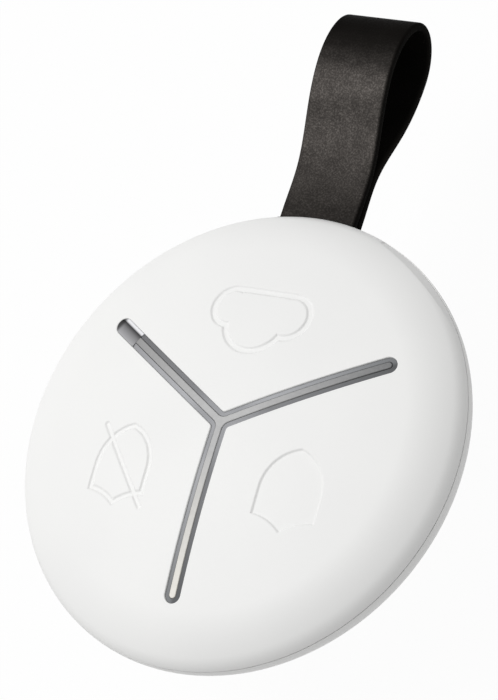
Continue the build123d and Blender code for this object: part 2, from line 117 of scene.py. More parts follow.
class Shell:
    """A surface gathered from patches, where every corner keeps the normal of its own patch."""

    def __init__(self) -> None:
        """Start with nothing."""
        self.points: list[Array] = []
        self.normals: list[Array] = []
        self.faces: list[Array] = []
        self.count = 0

    def triangles(self, points: Array, normals: Array, faces: Array) -> None:
        """Add triangles, turned so that they face the way their normals point.

        Args:
            points: Corner places, one row each.
            normals: Corner normals, one row each.
            faces: Rows of three indices into the points.
        """
        a, b, c = (points[faces[:, k]] for k in range(3))
        facing = np.cross(b - a, c - a)
        meant = normals[faces].sum(axis=1)
        if (facing * meant).sum() < 0:
            faces = faces[:, ::-1]
        self.points.append(points)
        self.normals.append(unit(normals))
        self.faces.append(faces + self.count)
        self.count += len(points)

    def patch(self, points: Array, normals: Array) -> None:
        """Add a grid of points as a patch.

        Args:
            points: Rows by columns by three.
            normals: The normals, of the same shape, or one normal for the whole patch.
        """
        rows, columns = points.shape[:2]
        normals = np.broadcast_to(normals, points.shape)
        index = np.arange(rows * columns).reshape(rows, columns)
        a, b = index[:-1, :-1].ravel(), index[:-1, 1:].ravel()
        c, d = index[1:, 1:].ravel(), index[1:, :-1].ravel()
        faces = np.concatenate([np.stack([a, b, c], 1), np.stack([a, c, d], 1)])
        self.triangles(points.reshape(-1, 3), normals.reshape(-1, 3), faces)

    def stitch(self, fine: Array, coarse: Array, kept: Array, normals: Array) -> None:
        """Join an edge of many points to one that keeps only some of them.

        Args:
            fine: The edge with every point.
            coarse: The other edge, one point for each kept index.
            kept: Indices of the fine edge's points that the coarse edge keeps.
            normals: Normals along the fine edge.
        """
        faces = []
        for k in range(len(kept) - 1):
            low, high = int(kept[k]), int(kept[k + 1])
            middle = (low + high) // 2
            first, second = len(fine) + k, len(fine) + k + 1
            faces += [(i, i + 1, first) for i in range(low, middle)]
            faces.append((middle, second, first))
            faces += [(i, i + 1, second) for i in range(middle, high)]
        points = np.concatenate([fine, coarse])
        self.triangles(points, np.concatenate([normals, normals[kept]]), np.array(faces))

    def tube(self, centre: tuple[float, float], radius: float, low: float, high: float, sides: int = 32,
             bevel: float = 0.12) -> None:
        """Add a closed upright cylinder with a small bevel at its lower end.

        Args:
            centre: Its x and y.
            radius: Its radius.
            low: Height of its lower end.
            high: Height of its upper end.
            sides: How many facets it has.
            bevel: Size of the bevel.
        """
        angle = np.linspace(0, 2 * math.pi, sides + 1)
        ring = np.stack([np.cos(angle), np.sin(angle), 0 * angle], axis=-1)
        place = np.array([centre[0], centre[1], 0.0])
        outline = [(0.0, high), (radius, high), (radius, low + bevel), (radius - bevel, low), (0.0, low)]
        for (r0, z0), (r1, z1) in zip(outline, outline[1:]):
            tilt = unit(np.array([z0 - z1, r1 - r0]))
            rows = np.stack([place + ring * r + np.array([0, 0, z]) for r, z in ((r0, z0), (r1, z1))])
            self.patch(rows, ring * tilt[0] + np.array([0, 0, tilt[1]]))

    def build(self, name: str) -> Piece:
        """Weld the patches and make the object.

        Args:
            name: Name of the object.

        Returns:
            The new mesh object, at the origin, with its place in its mesh.
        """
        points, normals = np.concatenate(self.points), np.concatenate(self.normals)
        faces = np.concatenate(self.faces)
        _, first, same = np.unique(np.round(points * WELDS_PER_MM).astype(np.int64), axis=0,
                                   return_index=True, return_inverse=True)
        welded = same.ravel()[faces]
        whole = (welded != np.roll(welded, 1, axis=1)).all(axis=1)
        faces, welded = faces[whole], welded[whole]
        mesh = bpy.data.meshes.new(name)
        mesh.vertices.add(len(first))
        mesh.vertices.foreach_set("co", (points[first] * MM).astype(np.float32).ravel())
        mesh.loops.add(welded.size)
        mesh.loops.foreach_set("vertex_index", welded.astype(np.int32).ravel())
        mesh.polygons.add(len(welded))
        mesh.polygons.foreach_set("loop_start", np.arange(0, welded.size, 3, dtype=np.int32))
        mesh.update(calc_edges=True)
        mesh.polygons.foreach_set("use_smooth", np.ones(len(welded), dtype=bool))
        mesh.normals_split_custom_set(normals[faces].reshape(-1, 3).astype(np.float32).tolist())
        mesh.update()
        piece = bpy.data.objects.new(name, mesh)
        bpy.context.scene.collection.objects.link(piece)
        return piece


def steps(start: float, end: float, size: float) -> Array:
    """Even steps from one value to another.

    Args:
        start: First value.
        end: Last value, included.
        size: Largest step.

    Returns:
        The values.
    """
    return np.linspace(start, end, max(2, int(math.ceil(abs(end - start) / size)) + 1))


def arc(centre: Sequence[float], reach: object, start: float, end: float, count: int) -> Array:
    """Points along an arc of a circle, or of an ellipse where the reach has two values.

    Args:
        centre: Its centre in the plane.
        reach: Its radius, or its half axes.
        start: First angle, in degrees.
        end: Last angle, in degrees.
        count: How many steps it is divided into.

    Returns:
        The points, both ends included.
    """
    turn = np.radians(np.linspace(start, end, count + 1))
    return np.array(centre) + reach * np.stack([np.cos(turn), np.sin(turn)], -1)


def thinned(count: int, every: int) -> Array:
    """Indices that keep the first, the last and some of those between.

    Args:
        count: How many there are.
        every: The stride.

    Returns:
        The kept indices.
    """
    return np.unique(np.append(np.arange(0, count, every), count - 1))


# Materials


class Tree:
    """Adds nodes to a shader tree and wires them."""

    def __init__(self, tree: bpy.types.NodeTree) -> None:
        """Start from an empty tree."""
        self.tree = tree
        tree.nodes.clear()

    def add(self, kind: str, settings: Optional[dict] = None, **inputs: object) -> Node:
        """Add a node.

        Args:
            kind: Its type's name.
            settings: Attributes of the node.
            inputs: Values or sockets for its inputs. An underscore stands for a space in a name, and i with a
                number for an input's place.

        Returns:
            The node.
        """
        node = self.tree.nodes.new(kind)
        for key, value in (settings or {}).items():
            setattr(node, key, value)
        for key, value in inputs.items():
            which = int(key[1:]) if key[1:].isdigit() else key.replace("_", " ")
            self.feed(node.inputs[which], value)
        return node

    def feed(self, socket: Socket, value: object) -> None:
        """Set a socket, or link another socket to it.

        Args:
            socket: The input.
            value: A value or another socket.
        """
        if isinstance(value, Socket):
            self.tree.links.new(value, socket)
        else:
            socket.default_value = value

    def maths(self, operation: str, a: object, b: object = 0.0) -> Socket:
        """Add a Math node and return its result."""
        return self.add("ShaderNodeMath", {"operation": operation}, i0=a, i1=b).outputs[0]

    def spread(self, value: object, low: float, high: float, to_low: float = 0.0, to_high: float = 1.0,
               smooth: bool = True) -> Socket:
        """Map a range of a value to another range, clamped, and return the result.

        Args:
            value: The value.
            low: Where the range starts.
            high: Where it ends.
            to_low: Result at its start.
            to_high: Result at its end.
            smooth: Whether the result eases in and out.

        Returns:
            The mapped value.
        """
        kind = "SMOOTHSTEP" if smooth else "LINEAR"
        node = self.add("ShaderNodeMapRange", {"interpolation_type": kind}, Value=value, From_Min=low,
                        From_Max=high, To_Min=to_low, To_Max=to_high)
        return node.outputs[0]

    def mixed(self, share: object, a: object, b: object) -> Socket:
        """Mix two colours and return the result."""
        return self.add("ShaderNodeMix", {"data_type": "RGBA"}, i0=share, i6=a, i7=b).outputs[2]

    def scaled(self, colour: object, gain: object) -> Socket:
        """Make a colour brighter or darker and return the result."""
        return self.add("ShaderNodeVectorMath", {"operation": "SCALE"}, i0=colour, Scale=gain).outputs[0]

    def unlit(self) -> Socket:
        """A mask of the rays that see a background as it is: from the camera, off gloss and through glass.

        Returns:
            The mask.
        """
        path = self.add("ShaderNodeLightPath")
        beyond = self.maths("MAXIMUM", path.outputs["Is Glossy Ray"], path.outputs["Is Transmission Ray"])
        return self.maths("MAXIMUM", path.outputs["Is Camera Ray"], beyond)


class Growth(Tree):
    """A geometry node tree with named sizes, grown on a bare mesh."""

    def __init__(self, name: str, sizes: dict[str, float]) -> None:
        """Start the tree.

        Args:
            name: The tree's name.
            sizes: Names of its inputs with their values in millimetres.
        """
        tree = bpy.data.node_groups.new(name, "GeometryNodeTree")
        tree.interface.new_socket(name="Geometry", in_out="INPUT", socket_type="NodeSocketGeometry")
        for key in sizes:
            tree.interface.new_socket(name=key, in_out="INPUT", socket_type="NodeSocketFloat")
        tree.interface.new_socket(name="Geometry", in_out="OUTPUT", socket_type="NodeSocketGeometry")
        super().__init__(tree)
        self.sizes = sizes
        self.given = self.add("NodeGroupInput")

    def size(self, key: str) -> Socket:
        """One of the tree's inputs."""
        return self.given.outputs[key]

    def vector(self, x: object, y: object, z: object) -> Socket:
        """Gather three numbers."""
        return self.add("ShaderNodeCombineXYZ", X=x, Y=y, Z=z).outputs[0]

    def placed(self, mesh: object, x: object = 0.0, y: object = 0.0, z: object = 0.0,
               turn: float = 0.0) -> Socket:
        """Move a mesh and turn it about Z."""
        return self.add("GeometryNodeTransform", Geometry=mesh, Translation=self.vector(x, y, z),
                        Rotation=(0.0, 0.0, turn)).outputs[0]

    def raised(self, mesh: object, low: object, high: object, turn: float = 0.0) -> Socket:
        """Move a centred mesh between two heights."""
        return self.placed(mesh, z=self.maths("MULTIPLY", self.maths("ADD", low, high), 0.5), turn=turn)

    def cylinder(self, radius: object, low: object, high: object, sides: int) -> Socket:
        """An upright cylinder between two heights.

        Args:
            radius: Its radius.
            low: Height of its foot.
            high: Height of its top.
            sides: How many facets it has.

        Returns:
            The mesh.
        """
        depth = self.maths("SUBTRACT", high, low)
        mesh = self.add("GeometryNodeMeshCylinder", Vertices=sides, Radius=radius, Depth=depth)
        return self.raised(mesh.outputs["Mesh"], low, high)

    def block(self, long: object, wide: object, low: object, high: object, turn: float = 0.0) -> Socket:
        """A block between two heights.

        Args:
            long: Size along X.
            wide: Size along Y.
            low: Height of its foot.
            high: Height of its top.
            turn: Turn about Z, in radians.

        Returns:
            The mesh.
        """
        depth = self.maths("SUBTRACT", high, low)
        mesh = self.add("GeometryNodeMeshCube", Size=self.vector(long, wide, depth))
        return self.raised(mesh.outputs["Mesh"], low, high, turn)

    def cut(self, mesh: object, tools: Sequence[object]) -> Socket:
        """Take shapes away from a mesh.

        Args:
            mesh: What is cut.
            tools: The shapes that are taken away.

        Returns:
            What is left.
        """
        node = self.add("GeometryNodeMeshBoolean", {"operation": "DIFFERENCE", "solver": "EXACT"}, i0=mesh)
        for tool in tools:
            self.feed(node.inputs[1], tool)
        return node.outputs[0]

    def joined(self, *parts: object) -> Socket:
        """Join meshes.

        Args:
            parts: The meshes.

        Returns:
            All of them.
        """
        node = self.add("GeometryNodeJoinGeometry")
        for part in parts:
            self.feed(node.inputs[0], part)
        return node.outputs[0]

    def marked(self, mesh: object, mark: str) -> Socket:
        """Name a mesh's faces, so that they can be given a material of their own."""
        return self.add("GeometryNodeStoreNamedAttribute", {"data_type": "BOOLEAN", "domain": "FACE"},
                        Geometry=mesh, Name=mark, Value=True).outputs[0]

    def facing_out(self) -> Socket:
        """Turn that points each instance away from the middle."""
        place = self.add("ShaderNodeSeparateXYZ", Vector=self.add("GeometryNodeInputPosition").outputs[0])
        return self.maths("ARCTAN2", place.outputs[1], place.outputs[0])

    def facing_axis(self) -> Socket:
        """Turn that points each instance along the nearer of the X and Y axes.

        Returns:
            The angle, in radians.
        """
        place = self.add("ShaderNodeSeparateXYZ", Vector=self.add("GeometryNodeInputPosition").outputs[0])
        x, y = (self.maths("ABSOLUTE", place.outputs[k]) for k in (0, 1))
        return self.maths("MULTIPLY", self.maths("GREATER_THAN", y, x), math.pi / 2)

    def repeated(self, mesh: object, turn: object) -> Socket:
        """Put a copy of a mesh on each of the places.

        Args:
            mesh: What is repeated.
            turn: Turn of each copy about Z.

        Returns:
            The instances.
        """
        way = self.add("FunctionNodeEulerToRotation", Euler=self.vector(0.0, 0.0, turn))
        return self.add("GeometryNodeInstanceOnPoints", Points=self.size("Geometry"), Instance=mesh,
                        Rotation=way.outputs[0]).outputs[0]

    def end(self, geometry: object, material: Material,
            others: Optional[dict[str, Material]] = None) -> None:
        """Make the result real and give it its materials.

        Args:
            geometry: The result.
            material: What it is made of.
            others: Materials of faces that carry a mark.
        """
        real = self.add("GeometryNodeRealizeInstances", Geometry=geometry)
        last = self.add("GeometryNodeSetMaterial", Geometry=real.outputs[0], Material=material)
        for mark, other in (others or {}).items():
            chosen = self.add("GeometryNodeInputNamedAttribute", {"data_type": "BOOLEAN"}, Name=mark)
            last = self.add("GeometryNodeSetMaterial", Geometry=last.outputs[0], Material=other,
                            Selection=chosen.outputs["Attribute"])
        self.feed(self.add("NodeGroupOutput").inputs[0], last.outputs[0])

    def grow(self, name: str, points: Array, edges: Sequence[tuple[int, int]] = ()) -> Piece:
        """Run the tree on a bare mesh and keep the result as a plain mesh.

        Args:
            name: Name of the piece.
            points: Vertices of the bare mesh, in metres.
            edges: Its edges.

        Returns:
            The piece, with no modifier left on it.
        """
        bare = bpy.data.meshes.new(name + "_places")
        bare.from_pydata([tuple(p) for p in points], list(edges), [])
        piece = bpy.data.objects.new(name, bare)
        bpy.context.scene.collection.objects.link(piece)
        modifier = piece.modifiers.new("grow", "NODES")
        modifier.node_group = self.tree
        sockets = {item.name: item.identifier for item in self.tree.interface.items_tree
                   if item.in_out == "INPUT"}
        for key, value in self.sizes.items():
            modifier[sockets[key]] = value * MM
        graph = bpy.context.evaluated_depsgraph_get()
        result = bpy.data.meshes.new_from_object(piece.evaluated_get(graph), preserve_all_data_layers=True,
                                                 depsgraph=graph)
        piece.modifiers.remove(modifier)
        piece.data = result
        bpy.data.meshes.remove(bare)
        return piece


class Effects:
    """Node groups that several finishes share."""

    grain_detail: float = 3.0
    grain_roughness: float = 0.6
    cell_share: float = 0.5
    cloud_detail: float = 2.0
    cloud_roughness: float = 0.5
    cloud_span: tuple[float, float] = (0.3, 0.7)

    def __init__(self) -> None:
        """Build each group once."""
        self.grain = self.make_grain()
        self.clouding = self.make_clouding()

    @staticmethod
    def group(name: str, outputs: Sequence[str], numbers: dict[str, float]) -> tuple[Tree, Node, Node]:
        """Start a group with a vector input and number inputs.

        Args:
            name: The group's name.
            outputs: Names of its number outputs.
            numbers: Number inputs and their defaults.

        Returns:
            The tree helper, the group's input node and its output node.
        """
        tree = bpy.data.node_groups.new(name, "ShaderNodeTree")
        tree.interface.new_socket(name="Vector", in_out="INPUT", socket_type="NodeSocketVector")
        for key, value in numbers.items():
            socket = tree.interface.new_socket(name=key, in_out="INPUT", socket_type="NodeSocketFloat")
            socket.default_value = value
        for key in outputs:
            tree.interface.new_socket(name=key, in_out="OUTPUT", socket_type="NodeSocketFloat")
        helper = Tree(tree)
        return helper, helper.add("NodeGroupInput"), helper.add("NodeGroupOutput")

    def make_grain(self) -> bpy.types.NodeTree:
        """Make the height of a fine surface grain.

        Returns:
            The node group.
        """
        numbers = {"Scale": 1000.0, "Roughness": self.grain_roughness}
        tree, given, out = self.group("surface_grain", ("Height",), numbers)
        fine = tree.add("ShaderNodeTexNoise", Vector=given.outputs["Vector"], Scale=given.outputs["Scale"],
                        Detail=self.grain_detail, Roughness=given.outputs["Roughness"])
        cells = tree.add("ShaderNodeTexVoronoi", Vector=given.outputs["Vector"], Scale=given.outputs["Scale"])
        pitted = tree.maths("MULTIPLY", cells.outputs["Distance"], self.cell_share)
        tree.feed(out.inputs["Height"], tree.maths("ADD", fine.outputs[0], pitted))
        return tree.tree

    def make_clouding(self) -> bpy.types.NodeTree:
        """Make a broad soft variation of tone over a surface.

        Returns:
            The node group.
        """
        tree, given, out = self.group("soft_clouding", ("Tone",), {"Scale": 100.0})
        broad = tree.add("ShaderNodeTexNoise", Vector=given.outputs["Vector"], Scale=given.outputs["Scale"],
                         Detail=self.cloud_detail, Roughness=self.cloud_roughness)
        tree.feed(out.inputs["Tone"], tree.spread(broad.outputs[0], *self.cloud_span))
        return tree.tree


@dataclass(frozen=True)
class Finish:
    """A moulded, painted or metal finish with fine grain and soft changes of tone."""

    name: str
    colour: Colour
    second_colour: Colour
    roughness: float = 0.4
    roughness_change: float = 0.05
    grain_scale: float = 2500.0
    grain_depth: float = 0.00001
    cloud_scale: float = 120.0
    metallic: float = 0.0
    specular: float = 0.5
    coat: float = 0.0
    coat_roughness: float = 0.1
    index: float = 1.5
    grain_span: tuple[float, float] = (0.3, 1.1)

    def material(self, effects: Effects) -> Material:
        """Make the material.

        Args:
            effects: The shared node groups.

        Returns:
            The Blender material.
        """
        made = bpy.data.materials.new(self.name)
        made.use_nodes = True
        tree = Tree(made.node_tree)
        where = tree.add("ShaderNodeTexCoord").outputs["Object"]
        grain = self.placed(tree, effects.grain, where, self.grain_scale)
        tone = self.placed(tree, effects.clouding, where, self.cloud_scale).outputs["Tone"]
        colour, roughness = self.dressed(tree, where, tone, grain)
        shader = tree.add("ShaderNodeBsdfPrincipled", Metallic=self.metallic, IOR=self.index,
                          Base_Color=colour, Roughness=roughness)
        tree.feed(shader.inputs["Specular IOR Level"], self.specular)
        tree.feed(shader.inputs["Coat Weight"], self.coat)
        tree.feed(shader.inputs["Coat Roughness"], self.coat_roughness)
        bump = tree.add("ShaderNodeBump", Distance=self.grain_depth, Strength=1.0,
                        Height=self.relief(tree, where, grain))
        tree.feed(shader.inputs["Normal"], bump.outputs[0])
        out = tree.add("ShaderNodeOutputMaterial")
        tree.feed(out.inputs["Surface"], shader.outputs[0])
        return made

    @staticmethod
    def placed(tree: Tree, group: bpy.types.NodeTree, where: object, scale: float) -> Node:
        """Place a shared group in the material."""
        return tree.add("ShaderNodeGroup", {"node_tree": group}, Vector=where, Scale=scale)

    def dressed(self, tree: Tree, where: object, tone: object, grain: Node) -> tuple[object, object]:
        """Colour and roughness over the surface.

        Args:
            tree: The material's tree.
            where: Object coordinates.
            tone: Broad variation, 0 to 1.
            grain: The grain group's node.

        Returns:
            The colour socket and the roughness socket.
        """
        colour = tree.mixed(tone, (*self.colour, 1.0), (*self.second_colour, 1.0))
        low, high = self.roughness - self.roughness_change, self.roughness + self.roughness_change
        roughness = tree.spread(grain.outputs["Height"], *self.grain_span, low, high)
        return colour, roughness

    def relief(self, tree: Tree, where: object, grain: Node) -> object:
        """Height that the bump follows."""
        return grain.outputs["Height"]


@dataclass(frozen=True)
class LeatherFinish(Finish):
    """Black leather whose outer face shows fine brown flecks: real flecks that also paint a sheen on the
    front, fading to black as painted shade at the bend.
    """

    fleck_colour: Colour = (0.215, 0.195, 0.18)
    fleck_scale: float = 5200.0
    fleck_from: float = 0.42
    fleck_to: float = 0.72
    fleck_least: float = 0.35
    fleck_detail: float = 4.0
    fleck_roughness: float = 0.75
    patch_size: float = 8.0
    patch_detail: float = 2.0
    patch_span: tuple[float, float] = (0.25, 0.75)
    patch_least: float = 0.7
    fleck_sheen_attribute: str = "brushed"

    def dressed(self, tree: Tree, where: object, tone: object, grain: Node) -> tuple[object, object]:
        """Dark hide with flecks by the mesh's fleck share, which carries real flecks and a painted sheen with
        painted shade at the bend; see the base class.

        Args:
            tree: The material's tree.
            where: Object coordinates.
            tone: Broad variation, 0 to 1.
            grain: The grain group's node.

        Returns:
            The colour socket and the roughness socket.
        """
        plain, roughness = super().dressed(tree, where, tone, grain)
        fine = tree.add("ShaderNodeTexNoise", Vector=where, Scale=self.fleck_scale, Detail=self.fleck_detail,
                        Roughness=self.fleck_roughness)
        patches = tree.add("ShaderNodeTexNoise", Vector=where, Scale=self.fleck_scale / self.patch_size,
                           Detail=self.patch_detail)
        brushed = tree.add("ShaderNodeAttribute", {"attribute_name": self.fleck_sheen_attribute}).outputs["Fac"]
        flecks = tree.spread(fine.outputs[0], self.fleck_from, self.fleck_to, self.fleck_least)
        worn = tree.spread(patches.outputs[0], *self.patch_span, self.patch_least)
        # Flecks follow the mesh's share, which paints a sheen on the front and shade at the bend
        share = tree.maths("MULTIPLY", tree.maths("MULTIPLY", flecks, worn), brushed)
        return tree.mixed(share, plain, (*self.fleck_colour, 1.0)), roughness


@dataclass(frozen=True)
class LightLineFinish(Finish):
    """Light guide plastic whose tone changes along the three arms, with one side of each arm painted lighter
    and the other darker, as painted light and shade.
    """

    arm_tones: tuple[Colour, ...] = ()
    arm_angles: tuple[float, ...] = ARM_ANGLES
    arm_from: float = 3.0
    arm_to: float = 19.0
    # Painted light and shade across each arm: a gain for each side of the arm's middle line
    side_light_and_shade_gains: tuple[tuple[float, float], ...] = ()
    side_from: float = 2.0
    side_to: float = 6.0
    side_edge: float = 0.3

    @staticmethod
    def measured(tree: Tree, where: object, degrees: float) -> object:
        """Distance of the shaded point along a direction in plan.

        Args:
            tree: The material's tree.
            where: Object coordinates.
            degrees: The direction.

        Returns:
            The socket of the distance in metres.
        """
        way = (math.cos(math.radians(degrees)), math.sin(math.radians(degrees)), 0.0)
        node = tree.add("ShaderNodeVectorMath", {"operation": "DOT_PRODUCT"}, i0=where, i1=way)
        return node.outputs["Value"]

    def dressed(self, tree: Tree, where: object, tone: object, grain: Node) -> tuple[object, object]:
        """The base colour, drawn towards each arm's own tone with the distance along that arm, and painted
        lighter on one side of each arm and darker on the other as painted light and shade.

        Args:
            tree: The material's tree.
            where: Object coordinates.
            tone: Broad variation, 0 to 1.
            grain: The grain group's node.

        Returns:
            The colour socket and the roughness socket.
        """
        colour, roughness = super().dressed(tree, where, tone, grain)
        for angle, arm_tone in zip(self.arm_angles, self.arm_tones):
            along = self.measured(tree, where, angle)
            share = tree.spread(along, self.arm_from * MM, self.arm_to * MM, smooth=False)
            colour = tree.mixed(share, colour, (*arm_tone, 1.0))
        # Painted light and shade: one side of each arm is made lighter and the other darker, across a soft
        # line along its middle
        for angle, (right, left) in zip(self.arm_angles, self.side_light_and_shade_gains):
            along, across = (self.measured(tree, where, angle + turn) for turn in (0, 90))
            share = tree.spread(along, self.side_from * MM, self.side_to * MM)
            gain = tree.spread(across, -self.side_edge * MM, self.side_edge * MM, right, left)
            colour = tree.mixed(share, colour, tree.scaled(colour, gain))
        return colour, roughness


@dataclass(frozen=True)
class WindowFinish(LightLineFinish):
    """Smooth dark window whose tone, set across the arm, is a painted highlight along one side and painted
    shade grading from dark to light, and which fades at the tip.
    """

    arm: float = WINDOW_ARM
    half: float = 0.9
    # Painted highlight and painted shade across the window: places across the arm in millimetres, with their
    # grey values
    highlight_and_shade_tones: tuple[tuple[float, float], ...] = (
        (-0.66, 0.85), (-0.55, 0.5), (-0.46, 0.03), (-0.3, 0.08), (0.0, 0.2), (0.85, 0.42))
    blue_gain: float = 1.03
    tip: tuple[float, float, float] = (18.3, 18.8, 0.22)

    def dressed(self, tree: Tree, where: object, tone: object, grain: Node) -> tuple[object, object]:
        """A painted highlight and painted shade set by the distance across the arm; see the base class.

        Args:
            tree: The material's tree.
            where: Object coordinates.
            tone: Broad variation, 0 to 1.
            grain: The grain group's node.

        Returns:
            The colour socket and the roughness socket.
        """
        _, roughness = super().dressed(tree, where, tone, grain)
        across = self.measured(tree, where, self.arm + 90)
        across = tree.spread(across, -self.half * MM, self.half * MM, smooth=False)
        ramp = tree.add("ShaderNodeValToRGB", Fac=across)
        stops = ramp.color_ramp.elements
        stops.remove(stops[1])
        for k, (place, value) in enumerate(self.highlight_and_shade_tones):
            share = (place + self.half) / (2 * self.half)
            stop = stops[0] if k == 0 else stops.new(share)
            stop.position, stop.color = share, (value, value, value * self.blue_gain, 1.0)
        from_tip, to_tip, last = self.tip
        fade = tree.spread(self.measured(tree, where, self.arm), from_tip * MM, to_tip * MM, 1.0, last)
        return tree.scaled(ramp.outputs[0], fade), roughness


@dataclass(frozen=True)
class LaminateFinish(Finish):
    """Circuit board lacquer with the tracks showing through."""

    track_colour: Colour = (0.05, 0.24, 0.10)
    block_scale: float = 320.0
    track_pitch: float = 0.26
    track_width: float = 0.16
    track_edge: float = 0.02
    along_x: float = 0.5
    bare: float = 0.3

    def dressed(self, tree: Tree, where: object, tone: object, grain: Node) -> tuple[object, object]:
        """Lacquer over blocks of straight tracks that run along X or along Y; see the base class.

        Args:
            tree: The material's tree.
            where: Object coordinates.
            tone: Broad variation, 0 to 1.
            grain: The grain group's node.

        Returns:
            The colour socket and the roughness socket.
        """
        colour, roughness = super().dressed(tree, where, tone, grain)
        blocks = tree.add("ShaderNodeTexVoronoi", {"distance": "CHEBYCHEV"}, Vector=where,
                          Scale=self.block_scale)
        pick = tree.add("ShaderNodeSeparateColor", Color=blocks.outputs["Color"])
        place = tree.add("ShaderNodeSeparateXYZ", Vector=where)
        lengthwise = tree.maths("GREATER_THAN", pick.outputs[0], self.along_x)
        across = tree.add("ShaderNodeMix", {"data_type": "FLOAT"}, i0=lengthwise, i2=place.outputs[0],
                          i3=place.outputs[1]).outputs[0]
        run = tree.maths("PINGPONG", across, self.track_pitch * MM)
        track = tree.spread(run, (self.track_width - self.track_edge) * MM, self.track_width * MM, 1.0, 0.0)
        share = tree.maths("MULTIPLY", track, tree.maths("GREATER_THAN", pick.outputs[1], self.bare))
        return tree.mixed(share, colour, (*self.track_colour, 1.0)), roughness


@dataclass(frozen=True)
class BrushedFinish(Finish):
    """Drawn metal with fine lines across it."""

    stretch: float = 30.0
    line_size: float = 10.0
    line_detail: float = 2.0

    def relief(self, tree: Tree, where: object, grain: Node) -> object:
        """Lines drawn along X, on top of the grain.

        Args:
            tree: The material's tree.
            where: Object coordinates.
            grain: The grain group's node.

        Returns:
            The height socket.
        """
        lines = tree.add("ShaderNodeMapping", Vector=where, Scale=(1.0, self.stretch, self.stretch))
        noise = tree.add("ShaderNodeTexNoise", Vector=lines.outputs[0], Detail=self.line_detail,
                         Scale=self.grain_scale / self.line_size)
        return tree.maths("ADD", grain.outputs["Height"], noise.outputs[0])


CASE_WHITE = Finish("case_white", (0.88, 0.88, 0.87), (0.86, 0.86, 0.852), roughness=0.5,
                    roughness_change=0.04, grain_scale=3500.0, grain_depth=0.000004, cloud_scale=60.0,
                    specular=0.3)
# The smoky guide's gains by side are painted light on one side of each arm and painted shade on the other
GUIDE_SMOKY = LightLineFinish("guide_smoky", (0.35, 0.355, 0.37), (0.37, 0.375, 0.39), roughness=0.55,
                              grain_scale=3000.0, grain_depth=0.000004, cloud_scale=300.0, specular=0.1,
                              arm_from=1.0,
                              arm_tones=((0.22, 0.22, 0.23), (0.14, 0.145, 0.15), (0.16, 0.165, 0.17)),
                              side_light_and_shade_gains=((0.74, 1.4), (0.78, 1.4), (1.32, 0.75)))
LAMP_WINDOW = WindowFinish("lamp_window", (0.2, 0.2, 0.21), (0.22, 0.22, 0.23), roughness=0.4,
                           grain_depth=0.000002, specular=0.08)
STRIP_MILKY = LightLineFinish("strip_milky", (0.41, 0.41, 0.41), (0.39, 0.39, 0.39), roughness=0.35,
                              grain_depth=0.000004, cloud_scale=500.0,
                              arm_tones=((0.16, 0.157, 0.158), (0.06, 0.062, 0.065), (0.74, 0.715, 0.655)))
STRAP_LEATHER = LeatherFinish("strap_leather", (0.004, 0.0036, 0.0032), (0.007, 0.0062, 0.0055),
                              roughness=0.45, roughness_change=0.1, grain_scale=3600.0, grain_depth=0.00003,
                              cloud_scale=150.0, specular=0.005)
FRAME_BLACK = Finish("frame_black", (0.02, 0.02, 0.021), (0.028, 0.028, 0.03), roughness=0.5)
BOARD_GREEN = LaminateFinish("board_green", (0.02, 0.13, 0.05), (0.025, 0.15, 0.06), roughness=0.3, coat=0.5)
STEEL = BrushedFinish("steel", (0.56, 0.56, 0.57), (0.50, 0.50, 0.51), roughness=0.3, metallic=1.0)
SPRING_STEEL = BrushedFinish("spring_steel", (0.62, 0.60, 0.55), (0.56, 0.54, 0.50), roughness=0.25,
                             metallic=1.0)
CELL_STEEL = BrushedFinish("cell_steel", (0.66, 0.66, 0.66), (0.60, 0.60, 0.60), roughness=0.22, metallic=1.0)
SWITCH_BLACK = Finish("switch_black", (0.03, 0.03, 0.032), (0.04, 0.04, 0.042), roughness=0.45)
PLUNGER_GREY = Finish("plunger_grey", (0.35, 0.35, 0.36), (0.30, 0.30, 0.31), roughness=0.5)
LAMP_CLEAR = Finish("lamp_clear", (0.85, 0.85, 0.80), (0.80, 0.80, 0.74), roughness=0.2, coat=0.6)
CHIP_BLACK = Finish("chip_black", (0.02, 0.02, 0.022), (0.03, 0.03, 0.032), roughness=0.55)
CRYSTAL_LID = BrushedFinish("crystal_lid", (0.70, 0.69, 0.66), (0.64, 0.63, 0.60), roughness=0.28,
                            metallic=1.0)
CAPACITOR_TAN = Finish("capacitor_tan", (0.42, 0.30, 0.18), (0.36, 0.26, 0.16), roughness=0.5)
COPPER = BrushedFinish("copper", (0.72, 0.50, 0.26), (0.64, 0.44, 0.24), roughness=0.32, metallic=1.0)

NODE_FINISHES = {
    "back_shell": CASE_WHITE, "strap_pins": STEEL, "inner_frame": FRAME_BLACK, "circuit_board": BOARD_GREEN,
    "cloud_plunger": PLUNGER_GREY, "shield_plunger": PLUNGER_GREY, "crossed_shield_plunger": PLUNGER_GREY,
    "status_leds": LAMP_CLEAR, "radio_chip": CHIP_BLACK, "crystal": CRYSTAL_LID, "antenna": COPPER,
    "battery_holder": FRAME_BLACK, "battery_clip": SPRING_STEEL, "negative_contact": SPRING_STEEL,
    "coin_cell": CELL_STEEL,
}


class Wardrobe:
    """Makes each finish's material once and gives it to pieces."""

    def __init__(self) -> None:
        """Build the shared effects."""
        self.effects = Effects()
        self.made: dict[str, Material] = {}

    def material(self, finish: Finish) -> Material:
        """The material of a finish.

        Args:
            finish: The finish.

        Returns:
            Its material, made when first asked for.
        """
        if finish.name not in self.made:
            self.made[finish.name] = finish.material(self.effects)
        return self.made[finish.name]

    def dress(self, piece: Piece, finish: Finish) -> None:
        """Give a piece its finish."""
        piece.data.materials.clear()
        piece.data.materials.append(self.material(finish))


# The case


